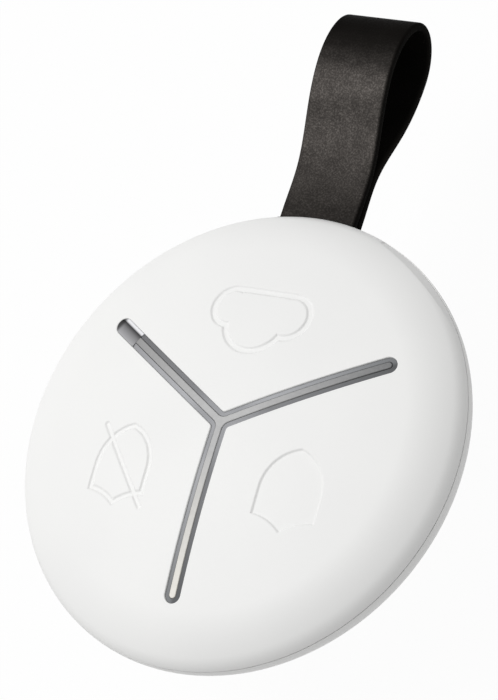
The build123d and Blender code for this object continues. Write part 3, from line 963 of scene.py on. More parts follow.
@dataclass(frozen=True)
class CaseProfile:
    """Outer skin of the front: a shallow dome, a shoulder and a tight rim, all tangent arcs."""

    rim: float = 25.0
    widest: float = 6.1
    dome_radius: float = 100.0
    shoulder_run: float = 5.25
    edge_radius: float = 2.56
    edge_slope: float = 38.9
    wall: float = 1.2

    @property
    def dome_edge(self) -> float:
        """Radius where the dome meets the shoulder."""
        return self.rim - self.shoulder_run

    @property
    def alpha(self) -> float:
        """Slope of the skin where the dome ends, in radians."""
        return math.asin(self.dome_edge / self.dome_radius)

    @property
    def beta(self) -> float:
        """Slope of the skin where the rim arc starts, in radians."""
        return math.radians(self.edge_slope)

    @property
    def shoulder_radius(self) -> float:
        """Radius of the shoulder's arc."""
        left = self.shoulder_run - self.edge_radius * (1 - math.sin(self.beta))
        return left / (math.sin(self.beta) - math.sin(self.alpha))

    @property
    def top(self) -> float:
        """Height of the middle of the dome.

        Returns:
            The height.
        """
        return (self.widest + self.dome_radius * (1 - math.cos(self.alpha))
                + self.shoulder_radius * (math.cos(self.alpha) - math.cos(self.beta))
                + self.edge_radius * math.cos(self.beta))

    @property
    def arcs(self) -> list[tuple[float, float, float]]:
        """Centre radius, centre height and radius of the dome, shoulder and rim arcs.

        Returns:
            One row for each arc.
        """
        dome = (0.0, self.top - self.dome_radius, self.dome_radius)
        edge_height = dome[1] + self.dome_radius * math.cos(self.alpha)
        shoulder = (self.dome_edge - self.shoulder_radius * math.sin(self.alpha),
                    edge_height - self.shoulder_radius * math.cos(self.alpha), self.shoulder_radius)
        return [dome, shoulder, (self.rim - self.edge_radius, self.widest, self.edge_radius)]

    def slope(self, r: Array) -> Array:
        """Slope of the skin at a radius, in radians.

        Args:
            r: Radii.

        Returns:
            The slopes.
        """
        dome, shoulder, rim = self.arcs
        edge = self.rim - self.edge_radius * (1 - math.sin(self.beta))
        shares = [np.clip((r - arc[0]) / arc[2], -1, 1) for arc in (dome, shoulder, rim)]
        return np.arcsin(np.where(r <= self.dome_edge, shares[0], np.where(r <= edge, shares[1], shares[2])))

    def section(self, slope: Array) -> tuple[Array, Array]:
        """Radius and height of the skin where it has a slope.

        Args:
            slope: Angles of the normal from +Z, in radians.

        Returns:
            The radii and the heights.
        """
        which = np.where(slope <= self.alpha, 0, np.where(slope <= self.beta, 1, 2))
        middle, height, radius = (np.array(self.arcs)[which, k] for k in range(3))
        return middle + radius * np.sin(slope), height + radius * np.cos(slope)

    def height(self, r: Array) -> Array:
        """Height of the skin at a radius."""
        return self.section(self.slope(r))[1]

    def normal(self, x: Array, y: Array) -> Array:
        """Normals of the plain skin above places in plan.

        Args:
            x: Places along X.
            y: Places along Y.

        Returns:
            The normals.
        """
        r = np.maximum(np.hypot(x, y), SHORTEST)
        slope = self.slope(r)
        return np.stack([np.sin(slope) * x / r, np.sin(slope) * y / r, np.cos(slope)], axis=-1)


@dataclass(frozen=True)
class Groove:
    """The three-armed groove: straight arms with round ends, and round corners between them."""

    width: float = 1.8
    arm_end: float = 19.16
    corner_radius: float = 0.5
    arms: tuple[float, ...] = ARM_ANGLES

    @property
    def half(self) -> float:
        """Half the groove's width."""
        return self.width / 2

    @property
    def cap_centre(self) -> float:
        """Distance of the centre of an arm's round end."""
        return self.arm_end - self.half

    @property
    def corner_centre(self) -> float:
        """Distance of the centre of a key's rounded tip."""
        return (self.half + self.corner_radius) / math.sin(KEY_HALF_ANGLE)

    def inside_key(self, x: Array, y: Array) -> Array:
        """Distance from the groove's edge for places on a key whose middle points along +X.

        Args:
            x: Places along X.
            y: Places along Y.

        Returns:
            The distances, negative in the groove.
        """
        y = np.abs(y)
        c, s = math.cos(KEY_HALF_ANGLE), math.sin(KEY_HALF_ANGLE)
        along = np.clip(x * c + y * s, 0, self.cap_centre)
        plain = np.hypot(x - along * c, y - along * s) - self.half
        round_tip = self.corner_radius - np.hypot(x - self.corner_centre, y)
        in_tip = (self.corner_centre - x) * math.tan(TIP_ANGLE) >= y
        return np.where(in_tip, round_tip, plain)

    def key_half_angle(self, r: Array) -> Array:
        """Half the angle that a key spans at a radius, in radians.

        Args:
            r: Radii.

        Returns:
            The angles.
        """
        middle, small = self.corner_centre, self.corner_radius
        tip = np.arccos(np.clip((r ** 2 + middle ** 2 - small ** 2) / (2 * r * middle), -1, 1))
        straight = KEY_HALF_ANGLE - np.arcsin(np.clip(self.half / r, -1, 1))
        cap = self.cap_centre
        end = KEY_HALF_ANGLE - np.arccos(np.clip((r ** 2 + cap ** 2 - self.half ** 2) / (2 * r * cap), -1, 1))
        touch = math.hypot(middle - small * math.cos(TIP_ANGLE), small * math.sin(TIP_ANGLE))
        angle = np.where(r < touch, tip, np.where(r < math.hypot(cap, self.half), straight, end))
        return np.where(r >= self.arm_end, KEY_HALF_ANGLE, angle)


class Symbol(Enum):
    """The sign sunk into each key, with the direction in which its key points, in degrees."""

    CLOUD = 90.0
    CROSSED_SHIELD = 210.0
    SHIELD = -30.0


@dataclass(frozen=True)
class SymbolPlan:
    """Where the strokes of the signs run, in plan."""

    cloud_stroke: float = 0.62
    shield_stroke: float = 0.5
    depth: float = 0.18
    softness: float = 0.13
    cloud_base: float = 15.05
    cloud_left: tuple[float, float] = (-3.55, 2.4)
    cloud_right: tuple[float, float] = (3.23, 2.72)
    cloud_crown: tuple[float, float, float] = (-0.15, 11.46, 3.77)
    shield_x: float = 9.97
    shield_half: float = 3.48
    shield_tip: float = -1.42
    shield_spring: float = -6.0
    shield_corner: float = -8.81
    shield_peak: float = -10.25
    shield_sag: float = 0.3
    slash_length: float = 11.2
    slash_slope: float = -50.0
    slash_y: float = -5.9

    def cloud(self, x: Array, y: Array) -> Array:
        """Signed distance from the cloud's outline.

        Args:
            x: Places along X.
            y: Places along Y.

        Returns:
            The distances, negative inside.
        """
        ends = [np.hypot(x - end_x, y - self.cloud_base + radius) - radius
                for end_x, radius in (self.cloud_left, self.cloud_right)]
        crown_x, crown_y, crown_radius = self.cloud_crown
        under_base = y - self.cloud_base
        crown = np.maximum(np.hypot(x - crown_x, y - crown_y) - crown_radius, under_base)
        (left, _), (right, depth) = self.cloud_left, self.cloud_right
        base = np.maximum(np.maximum(left - x, x - right), np.maximum(under_base, -depth - under_base))
        return np.minimum(np.minimum(ends[0], ends[1]), np.minimum(crown, base))

    def shield(self, x: Array, y: Array) -> Array:
        """Signed distance from a shield's outline, for a shield drawn about x = 0.

        Args:
            x: Places along X.
            y: Places along Y.

        Returns:
            The distances, negative inside.
        """
        across = np.abs(x)
        rise = self.shield_tip - self.shield_spring
        radius = (self.shield_half ** 2 + rise ** 2) / (2 * self.shield_half)
        curved = np.hypot(across + radius - self.shield_half, y - self.shield_spring) - radius
        sides = np.where(y > self.shield_spring, curved, across - self.shield_half)
        span = math.hypot(self.shield_half, self.shield_corner - self.shield_peak)
        bow = span ** 2 / 8 / self.shield_sag + self.shield_sag / 2
        middle = np.array([self.shield_half, self.shield_corner + self.shield_peak]) / 2
        outward = np.array([self.shield_corner - self.shield_peak, -self.shield_half]) / span
        centre = middle + outward * (bow - self.shield_sag)
        head = bow - np.hypot(across - centre[0], y - centre[1])
        return np.maximum(sides, head)

    def sunk(self, sign: Symbol, x: Array, y: Array) -> Array:
        """How far the surface is sunk at places in plan, in millimetres.

        Args:
            sign: Which sign.
            x: Places along X.
            y: Places along Y.

        Returns:
            The depths.
        """
        if sign is Symbol.CLOUD:
            half = self.cloud_stroke / 2
            edge = np.abs(self.cloud(x, y) + half) - half
        elif sign is Symbol.SHIELD:
            edge = self.shield(x - self.shield_x, y)
        else:
            half = self.shield_stroke / 2
            ring = np.abs(self.shield(x + self.shield_x, y) + half) - half
            angle = math.radians(self.slash_slope)
            along = (x + self.shield_x) * math.cos(angle) + (y - self.slash_y) * math.sin(angle)
            across = (y - self.slash_y) * math.cos(angle) - (x + self.shield_x) * math.sin(angle)
            reach = self.slash_length / 2 - half
            slash = np.hypot(along - np.clip(along, -reach, reach), across) - half
            edge = np.minimum(ring, slash)
        share = np.clip(0.5 - edge / (2 * self.softness), 0, 1)
        return self.depth * share * share * (3 - 2 * share)


@dataclass
class FrontKeys:
    """The three sectors of the front that flex, each with its sunk sign."""

    profile: CaseProfile
    groove: Groove
    symbols: SymbolPlan
    edge_round: float = 0.13
    split_radius: float = KEY_SPLIT
    sign_from: float = 5.0
    sign_to: float = 17.3
    fine: float = 0.09
    plain: float = 0.25
    columns: int = 300
    coarse_rows: int = 10
    coarse_columns: int = 12
    post_radius: float = 1.2
    post_place: float = SWITCH_CIRCLE
    post_low: float = 7.95
    flex_from: float = 10.6
    flex_to: float = 2.5
    edge_zone: float = 0.3
    cap_turns: tuple[float, ...] = (1.0, 12.0, 25.0, 38.0, 50.0, 60.0, 70.0, 80.0, 90.0)
    slope_reach: float = 0.004

    def rows(self) -> Array:
        """Radii of the rows of the grid, close together where the edges and the signs are.

        Returns:
            The radii.
        """
        tip = self.groove.corner_centre - self.groove.corner_radius
        cap, end = self.groove.cap_centre, self.groove.arm_end
        turn = np.radians(np.array(self.cap_turns))
        return np.concatenate([
            tip + EDGE_LINES, steps(tip + self.edge_zone, self.sign_from, self.plain),
            steps(self.sign_from, self.sign_to, self.fine)[1:], steps(self.sign_to, cap, self.plain)[1:-1],
            cap + self.groove.half * np.sin(turn), end + EDGE_LINES[1:],
            steps(end + self.edge_zone, self.split_radius, self.plain)])

    def angles(self, r: Array) -> Array:
        """Angles of the columns in each row, gathered near the groove's edges.

        Args:
            r: Radii of the rows.

        Returns:
            The angles, one row for each radius.
        """
        half = self.groove.key_half_angle(r)
        shrink = np.minimum(1.0, half * r / (2 * EDGE_LINES[-1]))
        margin = EDGE_LINES[None, :] * (shrink / r)[:, None]
        inner = half - margin[:, -1]
        middle = np.linspace(-1, 1, self.columns)[None, 1:-1] * inner[:, None]
        return np.concatenate([-(half[:, None] - margin), middle, (half[:, None] - margin)[:, ::-1]], axis=1)

    def surface(self, sign: Symbol, x: Array, y: Array) -> tuple[Array, Array]:
        """Height and normal of the key's skin at places drawn with the key along +X.

        Args:
            sign: Which key.
            x: Places along X.
            y: Places along Y.

        Returns:
            The heights and the normals.
        """
        turn = math.radians(sign.value)

        def sunk(a: Array, b: Array) -> Array:
            """How far the sign is sunk at places drawn with the key along +X."""
            return self.symbols.sunk(sign, a * math.cos(turn) - b * math.sin(turn),
                                     a * math.sin(turn) + b * math.cos(turn))

        away = np.maximum(self.groove.inside_key(x, y), 0.0)
        share = np.clip(1 - away / self.edge_round, 0, 1)
        drop = self.edge_round * (1 - np.sqrt(1 - share ** 2))
        height = self.profile.height(np.hypot(x, y)) - drop - sunk(x, y)
        tiny = self.slope_reach
        slope_x = (sunk(x + tiny, y) - sunk(x - tiny, y)) / (2 * tiny)
        slope_y = (sunk(x, y + tiny) - sunk(x, y - tiny)) / (2 * tiny)
        wall_x = (self.groove.inside_key(x + tiny, y) - self.groove.inside_key(x - tiny, y)) / (2 * tiny)
        wall_y = (self.groove.inside_key(x, y + tiny) - self.groove.inside_key(x, y - tiny)) / (2 * tiny)
        upward = self.profile.normal(x, y) + np.stack([slope_x, slope_y, 0 * x], axis=-1)
        outward = -unit(np.stack([wall_x, wall_y, 0 * x], axis=-1))
        normal = unit(upward) * np.sqrt(1 - share ** 2)[..., None] + outward * share[..., None]
        return height, unit(normal)

    def build_key(self, sign: Symbol) -> Piece:
        """Make one key as a closed shell.

        Args:
            sign: Which key.

        Returns:
            The key's object.
        """
        r = self.rows()
        angle = self.angles(r)
        x, y = r[:, None] * np.cos(angle), r[:, None] * np.sin(angle)
        z, normal = self.surface(sign, x, y)
        under = self.profile.height(np.hypot(x, y)) - self.profile.wall
        skin, base = np.stack([x, y, z], -1), np.stack([x, y, under], -1)
        rows, columns = thinned(len(r), self.coarse_rows), thinned(angle.shape[1], self.coarse_columns)
        shell = Shell()
        shell.patch(skin, normal)
        shell.patch(base[np.ix_(rows, columns)], np.array([0.0, 0.0, -1.0]))
        flat = normal * np.array([1.0, 1.0, 0.0])
        for edge in (0, -1):
            outward = unit(flat[:, edge])
            # The first row is the key's tip, which has no side of its own
            outward[0] = outward[1]
            shell.stitch(skin[:, edge], base[rows][:, edge], rows, outward)
        outer = unit(np.stack([x[-1], y[-1], 0 * x[-1]], -1))
        shell.stitch(skin[-1], base[-1][columns], columns, outer)
        post_top = float(self.profile.height(np.array(self.post_place))) - self.profile.wall / 2
        shell.tube((self.post_place, 0.0), self.post_radius, self.post_low, post_top)
        shell.points = [turned(p, sign.value) for p in shell.points]
        shell.normals = [turned(n, sign.value) for n in shell.normals]
        return shell.build(f"{sign.name.lower()}_key_skin")

    def dress(self, wardrobe: Wardrobe) -> None:
        """Build the keys, finish them, bake their places into their meshes and hide the CAD keys.

        Args:
            wardrobe: Makes and gives the finishes.
        """
        for sign in Symbol:
            piece = self.build_key(sign)
            wardrobe.dress(piece, CASE_WHITE)
            node = f"key_{sign.name.lower()}"
            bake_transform(piece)
            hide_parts(node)
            report(piece)


@dataclass
class FrontRing:
    """The ring outside the keys, with its lip, its pry relief and the notch over the strap."""

    profile: CaseProfile
    inner: float = KEY_SPLIT
    low: float = 6.53
    lip_low: float = 5.27
    lip_outer: float = 23.317
    lip_inner: float = 22.617
    edge_round: float = 0.06
    relief_from: float = 35.5
    relief_to: float = 71.0
    relief_middle: float = 57.0
    relief_radius: float = 40.0
    relief_depth: float = 0.7
    relief_foot: float = 0.12
    relief_step: float = 0.015
    notch_half: float = 4.65
    notch_high: float = 6.85
    boss_radius: float = 1.15
    boss_circle: float = SCREW_CIRCLE
    boss_low: float = 7.6
    boss_angles: tuple[float, ...] = ARM_ANGLES
    column_step: float = 0.5
    column_digits: int = 4
    pair_gap: float = 0.02
    end_margin: float = 0.1
    end_steps: tuple[float, float] = (0.2, 0.1)
    slow_end: float = 5.0
    high_runout: float = 2.0
    low_runout: float = 0.4
    arc_step: float = 0.02
    rim_step: float = 0.04
    least_cut: float = 0.02
    foot_rows: tuple[float, ...] = (0.0, 0.0, 0.5, 1.0)
    foot_width: float = 0.4
    inner_step: float = 0.06
    inner_reach: float = 0.8
    inner_margins: tuple[float, float] = (0.05, 0.1)

    @property
    def first_slope(self) -> float:
        """Slope of the skin at the ring's inner edge, in radians."""
        return float(self.profile.slope(np.array(self.inner)))

    @property
    def last_slope(self) -> float:
        """Slope of the skin at the ring's lower edge, in radians."""
        return math.acos((self.low + self.edge_round - self.profile.widest) / self.profile.edge_radius)

    def azimuths(self) -> Array:
        """Angles of the columns, with close pairs at the notch's sides and the relief's ends, in radians.

        Returns:
            The angles.
        """
        side = math.degrees(math.asin(self.notch_half / self.profile.rim))
        even = np.arange(0.0, 360.0, self.column_step)
        sharp = [90 - side, 90 + side]
        pairs = [a + d for a in sharp for d in (-self.pair_gap, self.pair_gap)]
        low_step, high_step = self.end_steps
        ends = [*steps(self.relief_from - self.end_margin, self.relief_from + self.slow_end, low_step),
                *steps(self.relief_to - self.high_runout, self.relief_to + self.end_margin, high_step)]
        kept = [a for a in even if min(abs(a - b) for b in sharp) > self.end_margin]
        return np.radians(np.unique(np.round([*kept, *pairs, *ends, 360.0], self.column_digits)))

    def relief(self, azimuth: Array) -> Array:
        """Radius where the pry relief's facet starts at an angle: a wide round cut with a sharp upper end.

        Args:
            azimuth: Angles of the columns, in radians.

        Returns:
            The radii.
        """
        away = self.profile.rim - self.relief_depth - self.relief_radius
        turn = azimuth - math.radians(self.relief_middle)
        floor = away * np.cos(turn) + np.sqrt(self.relief_radius ** 2 - (away * np.sin(turn)) ** 2)
        degrees = np.degrees(azimuth)
        end = (np.clip((degrees - self.relief_to) / self.high_runout + 1, 0, 1) ** 2
               + np.clip((self.relief_from - degrees) / self.low_runout, 0, 1))
        return np.minimum(self.profile.rim, floor + end * self.profile.edge_radius)

    def skin(self, azimuth: Array) -> tuple[Array, Array, Array]:
        """Outer skin of the ring down to its lower edge, with the relief's facet cut into it.

        Args:
            azimuth: Angles of the columns, in radians.

        Returns:
            Radii, heights and slopes of the normals, by row and column.
        """
        rim_radius, _, rim_arc = self.profile.arcs[2]
        starts = self.relief(azimuth)
        edge = np.arcsin(np.clip((starts - rim_radius) / rim_arc, 0, 1))
        edge = np.minimum(edge, self.last_slope)
        above = steps(self.first_slope, self.profile.beta, self.arc_step)
        share = steps(0, 1, self.rim_step)[1:]
        upper = np.concatenate([np.repeat(above[:, None], len(azimuth), 1),
                                self.profile.beta + share[:, None] * (edge - self.profile.beta)])
        r, z = self.profile.section(upper)
        r[0] = self.inner
        foot_r, foot_z = self.profile.section(np.array(self.last_slope))
        depth = np.maximum(self.profile.rim - starts, 0)
        cut = depth > self.least_cut
        high_r, high_z = r[-1] - self.relief_step * cut, z[-1]
        low_r = foot_r - self.relief_foot * depth
        down = np.array(self.foot_rows)
        lower_r = high_r + down[:, None] * (low_r - high_r)
        lower_z = high_z + down[:, None] * (foot_z - high_z)
        facet = np.arctan2(np.maximum(high_z - foot_z, SHORTEST), np.maximum(low_r - high_r, SHORTEST))
        lower = np.where(cut, facet, self.last_slope) * np.ones((len(down), 1))
        lower[0] = upper[-1]
        return np.concatenate([r, lower_r]), np.concatenate([z, lower_z]), np.concatenate([upper, lower])

    def outline(self) -> Array:
        """Rest of the ring's section, from the lower edge of the skin back to its inner top edge.

        Returns:
            Rows of radius, height and slope of the normal.
        """
        foot, _ = self.profile.section(np.array(self.last_slope))
        base = [(float(foot) - self.foot_width, self.low, math.pi), (self.lip_outer, self.low, math.pi),
                (self.lip_outer, self.low, math.pi / 2), (self.lip_outer, self.lip_low, math.pi / 2),
                (self.lip_outer, self.lip_low, math.pi), (self.lip_inner, self.lip_low, math.pi),
                (self.lip_inner, self.lip_low, -math.pi / 2)]
        outermost = float(self.profile.slope(np.array(self.lip_inner + self.inner_reach)))
        inner_slopes = steps(outermost, self.first_slope, self.inner_step)
        inner_r, inner_z = self.profile.section(inner_slopes)
        inner_r = inner_r - self.profile.wall * np.sin(inner_slopes)
        inner_z = inner_z - self.profile.wall * np.cos(inner_slopes)
        outer_margin, inner_margin = self.inner_margins
        kept = (inner_r < self.lip_inner - outer_margin) & (inner_r > self.inner + inner_margin)
        under = [(a, b, math.pi + s) for a, b, s in zip(inner_r[kept], inner_z[kept], inner_slopes[kept])]
        base.append((self.lip_inner, under[0][1], -math.pi / 2))
        base.append((self.lip_inner, under[0][1], under[0][2]))
        inner_high = float(self.profile.height(np.array(self.inner)))
        inner_low = inner_high - self.profile.wall
        under.append((self.inner, inner_low, under[-1][2]))
        under.append((self.inner, inner_low, -math.pi / 2))
        under.append((self.inner, inner_high, -math.pi / 2))
        return np.array(base + under)

    def build(self) -> Piece:
        """Make the ring with its screw bosses as one closed shell each.

        Returns:
            The ring's object.
        """
        azimuth = self.azimuths()
        r, z, slope = self.skin(azimuth)
        rest = self.outline()[:, :, None] * np.ones(len(azimuth))
        radius, z, slope = (np.concatenate([a, b]) for a, b in zip((r, z, slope), rest.transpose(1, 0, 2)))
        over_strap = (np.sin(azimuth) > 0) & (np.abs(np.cos(azimuth)) * self.profile.rim < self.notch_half)
        floor = np.where(over_strap, self.notch_high, 0.0)
        height = np.maximum(z, floor[None, :])
        c, s = np.cos(azimuth), np.sin(azimuth)
        points = np.stack([radius * c, radius * s, height], -1)
        normals = np.stack([np.sin(slope) * c, np.sin(slope) * s, np.cos(slope)], -1)
        shell = Shell()
        shell.patch(points, normals)
        boss_high = float(self.profile.height(np.array(self.boss_circle))) - self.profile.wall
        for angle in self.boss_angles:
            turn = math.radians(angle)
            place = (self.boss_circle * math.cos(turn), self.boss_circle * math.sin(turn))
            shell.tube(place, self.boss_radius, self.boss_low, boss_high)
        return shell.build("front_ring")

    def dress(self, wardrobe: Wardrobe) -> None:
        """Build the ring and let it ride on the front half.

        Args:
            wardrobe: Makes and gives the finishes.
        """
        piece = self.build()
        wardrobe.dress(piece, CASE_WHITE)
        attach(piece, "front_half")
        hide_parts("front_cover")
        report(piece)


@dataclass
class LightLine:
    """The light guide in the groove: a milky strip between two smoky, sloping bands."""

    profile: CaseProfile
    groove: Groove
    low: float = 7.6
    band_edges: tuple[float, float] = (0.02, 0.49)
    band_recess: tuple[float, float] = (0.20, 0.09)
    strip_edge: float = 0.53
    strip_recess: float = 0.03
    strip_round: float = 0.07
    step: float = 0.3
    corner_steps: int = 6
    cap_steps: int = 9
    window_arm: float = WINDOW_ARM
    window_from: float = 15.4
    window_recess: float = 0.01
    window_edge: float = 0.02
    window_columns: int = 9
    cover_columns: int = 5
    corner_turn: tuple[float, float] = (240.0, 270.0)
    chamfer: float = 0.02
    inner_chamfer: float = 0.03
    chamfer_tilt: float = 60.0
    inner_tilt: float = -30.0
    strip_share: float = 0.3
    strip_tilt: float = 30.0

    def loop(self, inset: float) -> tuple[Array, Array]:
        """Half of each arm's outline, from the corner between two arms to the tip of the arm.

        Args:
            inset: Distance from the groove's wall.

        Returns:
            Places of one side of an arm drawn along +X and of the mirrored side, from the corner to the tip.
        """
        half = self.groove.half - inset
        radius = self.groove.corner_radius + inset
        middle = self.groove.corner_centre
        centre = middle * np.array([math.cos(KEY_HALF_ANGLE), math.sin(KEY_HALF_ANGLE)])
        corner = arc(centre, radius, *self.corner_turn, self.corner_steps)
        along = steps(float(corner[-1, 0]), self.groove.cap_centre, self.step)[1:]
        along = np.unique(np.append(along, self.window_from))
        straight = np.stack([along, np.full(len(along), half)], -1)
        cap = arc((self.groove.cap_centre, 0.0), half, 90, 0, self.cap_steps)[1:]
        side = np.concatenate([corner, straight, cap])
        return side, side * np.array([1.0, -1.0])

    def raised(self, plan: Array, recess: Optional[float]) -> Array:
        """Places in space for places in plan, below the skin by a recess, or on the guide's base for None.

        Args:
            plan: Places in plan.
            recess: How far they lie below the skin, or None.

        Returns:
            The places in space.
        """
        r = np.hypot(plan[..., 0], plan[..., 1])
        z = np.full(r.shape, self.low) if recess is None else self.profile.height(r) - recess
        return np.concatenate([plan, z[..., None]], axis=-1)

    def bands(self, shell: Shell, rungs: Sequence[tuple[float, Optional[float], float]]) -> None:
        """Add bands that run round the whole outline.

        Args:
            shell: The shell that takes them.
            rungs: Inset, recess and slope of the band up to the next rung, in degrees from straight up,
                towards the groove's wall.
        """
        for (inset0, recess0, slope), (inset1, recess1, _) in zip(rungs, rungs[1:]):
            for arm in self.groove.arms:
                for side in (0, 1):
                    rows = np.stack([self.raised(self.loop(inset)[side], recess)
                                     for inset, recess in ((inset0, recess0), (inset1, recess1))])
                    reference = self.loop(self.groove.half / 2)[side]
                    tangent = np.gradient(reference, axis=0)
                    outward = np.stack([-tangent[:, 1], tangent[:, 0]], -1) * (1 if side == 0 else -1)
                    outward = unit(outward)
                    c, s = math.cos(math.radians(slope)), math.sin(math.radians(slope))
                    normal = np.concatenate([outward * s, np.full((len(outward), 1), c)], -1)
                    shell.patch(turned(rows, arm), turned(np.broadcast_to(normal, rows.shape), arm))

    def cover(self, shell: Shell, inset: float, recess: Optional[float], up: float) -> None:
        """Fill the inside of an outline across the arms, and the middle where they meet.

        Args:
            shell: The shell that takes it.
            inset: Distance from the groove's wall.
            recess: How far it lies below the skin, or None for the guide's base.
            up: 1 for a face that looks up and -1 for one that looks down.
        """
        hub = []
        for arm in self.groove.arms:
            left, right = self.loop(inset)
            share = np.linspace(0, 1, self.cover_columns)[None, :, None]
            plan = left[:, None, :] * (1 - share) + right[:, None, :] * share
            shell.patch(turned(self.raised(plan, recess), arm), np.array([0.0, 0.0, up]))
            hub.append(turned(self.raised(plan[0], recess), arm))
        middle = self.raised(np.zeros((1, 2)), recess)
        for row in hub:
            points = np.concatenate([middle, row])
            faces = np.array([(0, k, k + 1) for k in range(1, len(row))])
            shell.triangles(points, np.broadcast_to(np.array([0.0, 0.0, up]), points.shape), faces)

    def build_bands(self) -> Piece:
        """Make the smoky sloping bands as one closed shell.

        Returns:
            The bands' object.
        """
        outer, inner = self.band_edges
        deep, shallow = self.band_recess
        shell = Shell()
        slope = math.degrees(math.atan2(deep - shallow, inner - outer))
        self.bands(shell, [(outer, None, 90.0), (outer, deep + self.chamfer, self.chamfer_tilt),
                           (outer + self.chamfer, deep, slope),
                           (inner - self.chamfer, shallow, self.inner_tilt),
                           (inner, shallow + self.inner_chamfer, -90.0), (inner, None, 180.0),
                           (outer, None, 180.0)])
        return shell.build("light_bands")

    def build_strip(self) -> Piece:
        """Make the milky strip as one closed shell.

        Returns:
            The strip's object.
        """
        edge, small = self.strip_edge, self.strip_round
        shell = Shell()
        start = small * self.strip_share
        self.bands(shell, [(edge, None, 90.0), (edge, self.strip_recess + small, self.chamfer_tilt),
                           (edge + start, self.strip_recess + start, self.strip_tilt),
                           (edge + small, self.strip_recess, 0.0)])
        self.cover(shell, edge + small, self.strip_recess, 1.0)
        self.cover(shell, edge, None, -1.0)
        return shell.build("light_strip_top")

    def build_window(self) -> Piece:
        """Make the smooth window over the lamp at the tip of one arm as one closed shell.

        Returns:
            The window's object.
        """
        left, right = (side[side[:, 0] >= self.window_from] for side in self.loop(self.window_edge))
        share = np.linspace(0, 1, self.window_columns)[None, :, None]
        plan = left[:, None, :] * (1 - share) + right[:, None, :] * share
        top, base = self.raised(plan, self.window_recess), self.raised(plan, None)
        shell = Shell()
        shell.patch(top, np.array([0.0, 0.0, 1.0]))
        shell.patch(base, np.array([0.0, 0.0, -1.0]))
        shell.patch(np.stack([top[0], base[0]]), np.array([-1.0, 0.0, 0.0]))
        middle = np.array([self.window_from, 0.0, 0.0])
        for edge in (0, -1):
            outward = unit((top[:, edge] - middle) * np.array([1.0, 1.0, 0.0]))
            shell.patch(np.stack([top[:, edge], base[:, edge]]), np.stack([outward, outward]))
        shell.points = [turned(p, self.window_arm) for p in shell.points]
        shell.normals = [turned(n, self.window_arm) for n in shell.normals]
        return shell.build("lamp_window")

    def dress(self, wardrobe: Wardrobe) -> None:
        """Build the pieces and let them ride on the front half.

        Args:
            wardrobe: Makes and gives the finishes.
        """
        for piece, finish, nodes, slot in (
                (self.build_bands(), GUIDE_SMOKY, ("light_guide",), "guide_smoky"),
                (self.build_strip(), STRIP_MILKY, ("light_strip",), "strip_white"),
                (self.build_window(), LAMP_WINDOW, (), "guide_smoky")):
            wardrobe.dress(piece, finish)
            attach(piece, "front_half")
            if nodes:
                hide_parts(*nodes)
            report(piece)


# The strap


def smooth_through(places: Sequence[tuple[float, float]], way: tuple[float, float], count: int) -> Array:
    """A smooth curve through points in a plane, with the same direction at both ends.

    Args:
        places: The points.
        way: Direction at the first and the last point.
        count: How many steps each span is divided into.

    Returns:
        Points along the curve, both ends included.
    """
    points = np.array(places)
    gaps = np.linalg.norm(np.diff(points, axis=0), axis=1)
    size = len(points)
    matrix, right = np.zeros((size, size)), np.zeros((size, 2))
    matrix[0, 0] = matrix[-1, -1] = 1.0
    right[0] = right[-1] = way
    for k in range(1, size - 1):
        matrix[k, k - 1], matrix[k, k], matrix[k, k + 1] = gaps[k], 2 * (gaps[k - 1] + gaps[k]), gaps[k - 1]
        right[k] = 3 * (gaps[k] * (points[k] - points[k - 1]) / gaps[k - 1]
                        + gaps[k - 1] * (points[k + 1] - points[k]) / gaps[k])
    slopes = np.linalg.solve(matrix, right)
    curve = [points[:1]]
    t = np.linspace(0, 1, count + 1)[1:, None]
    for k in range(size - 1):
        leaving = (2 * t ** 3 - 3 * t ** 2 + 1) * points[k] + (t ** 3 - 2 * t ** 2 + t) * gaps[k] * slopes[k]
        coming = (3 * t ** 2 - 2 * t ** 3) * points[k + 1] + (t ** 3 - t ** 2) * gaps[k] * slopes[k + 1]
        curve.append(leaving + coming)
    return np.concatenate(curve)


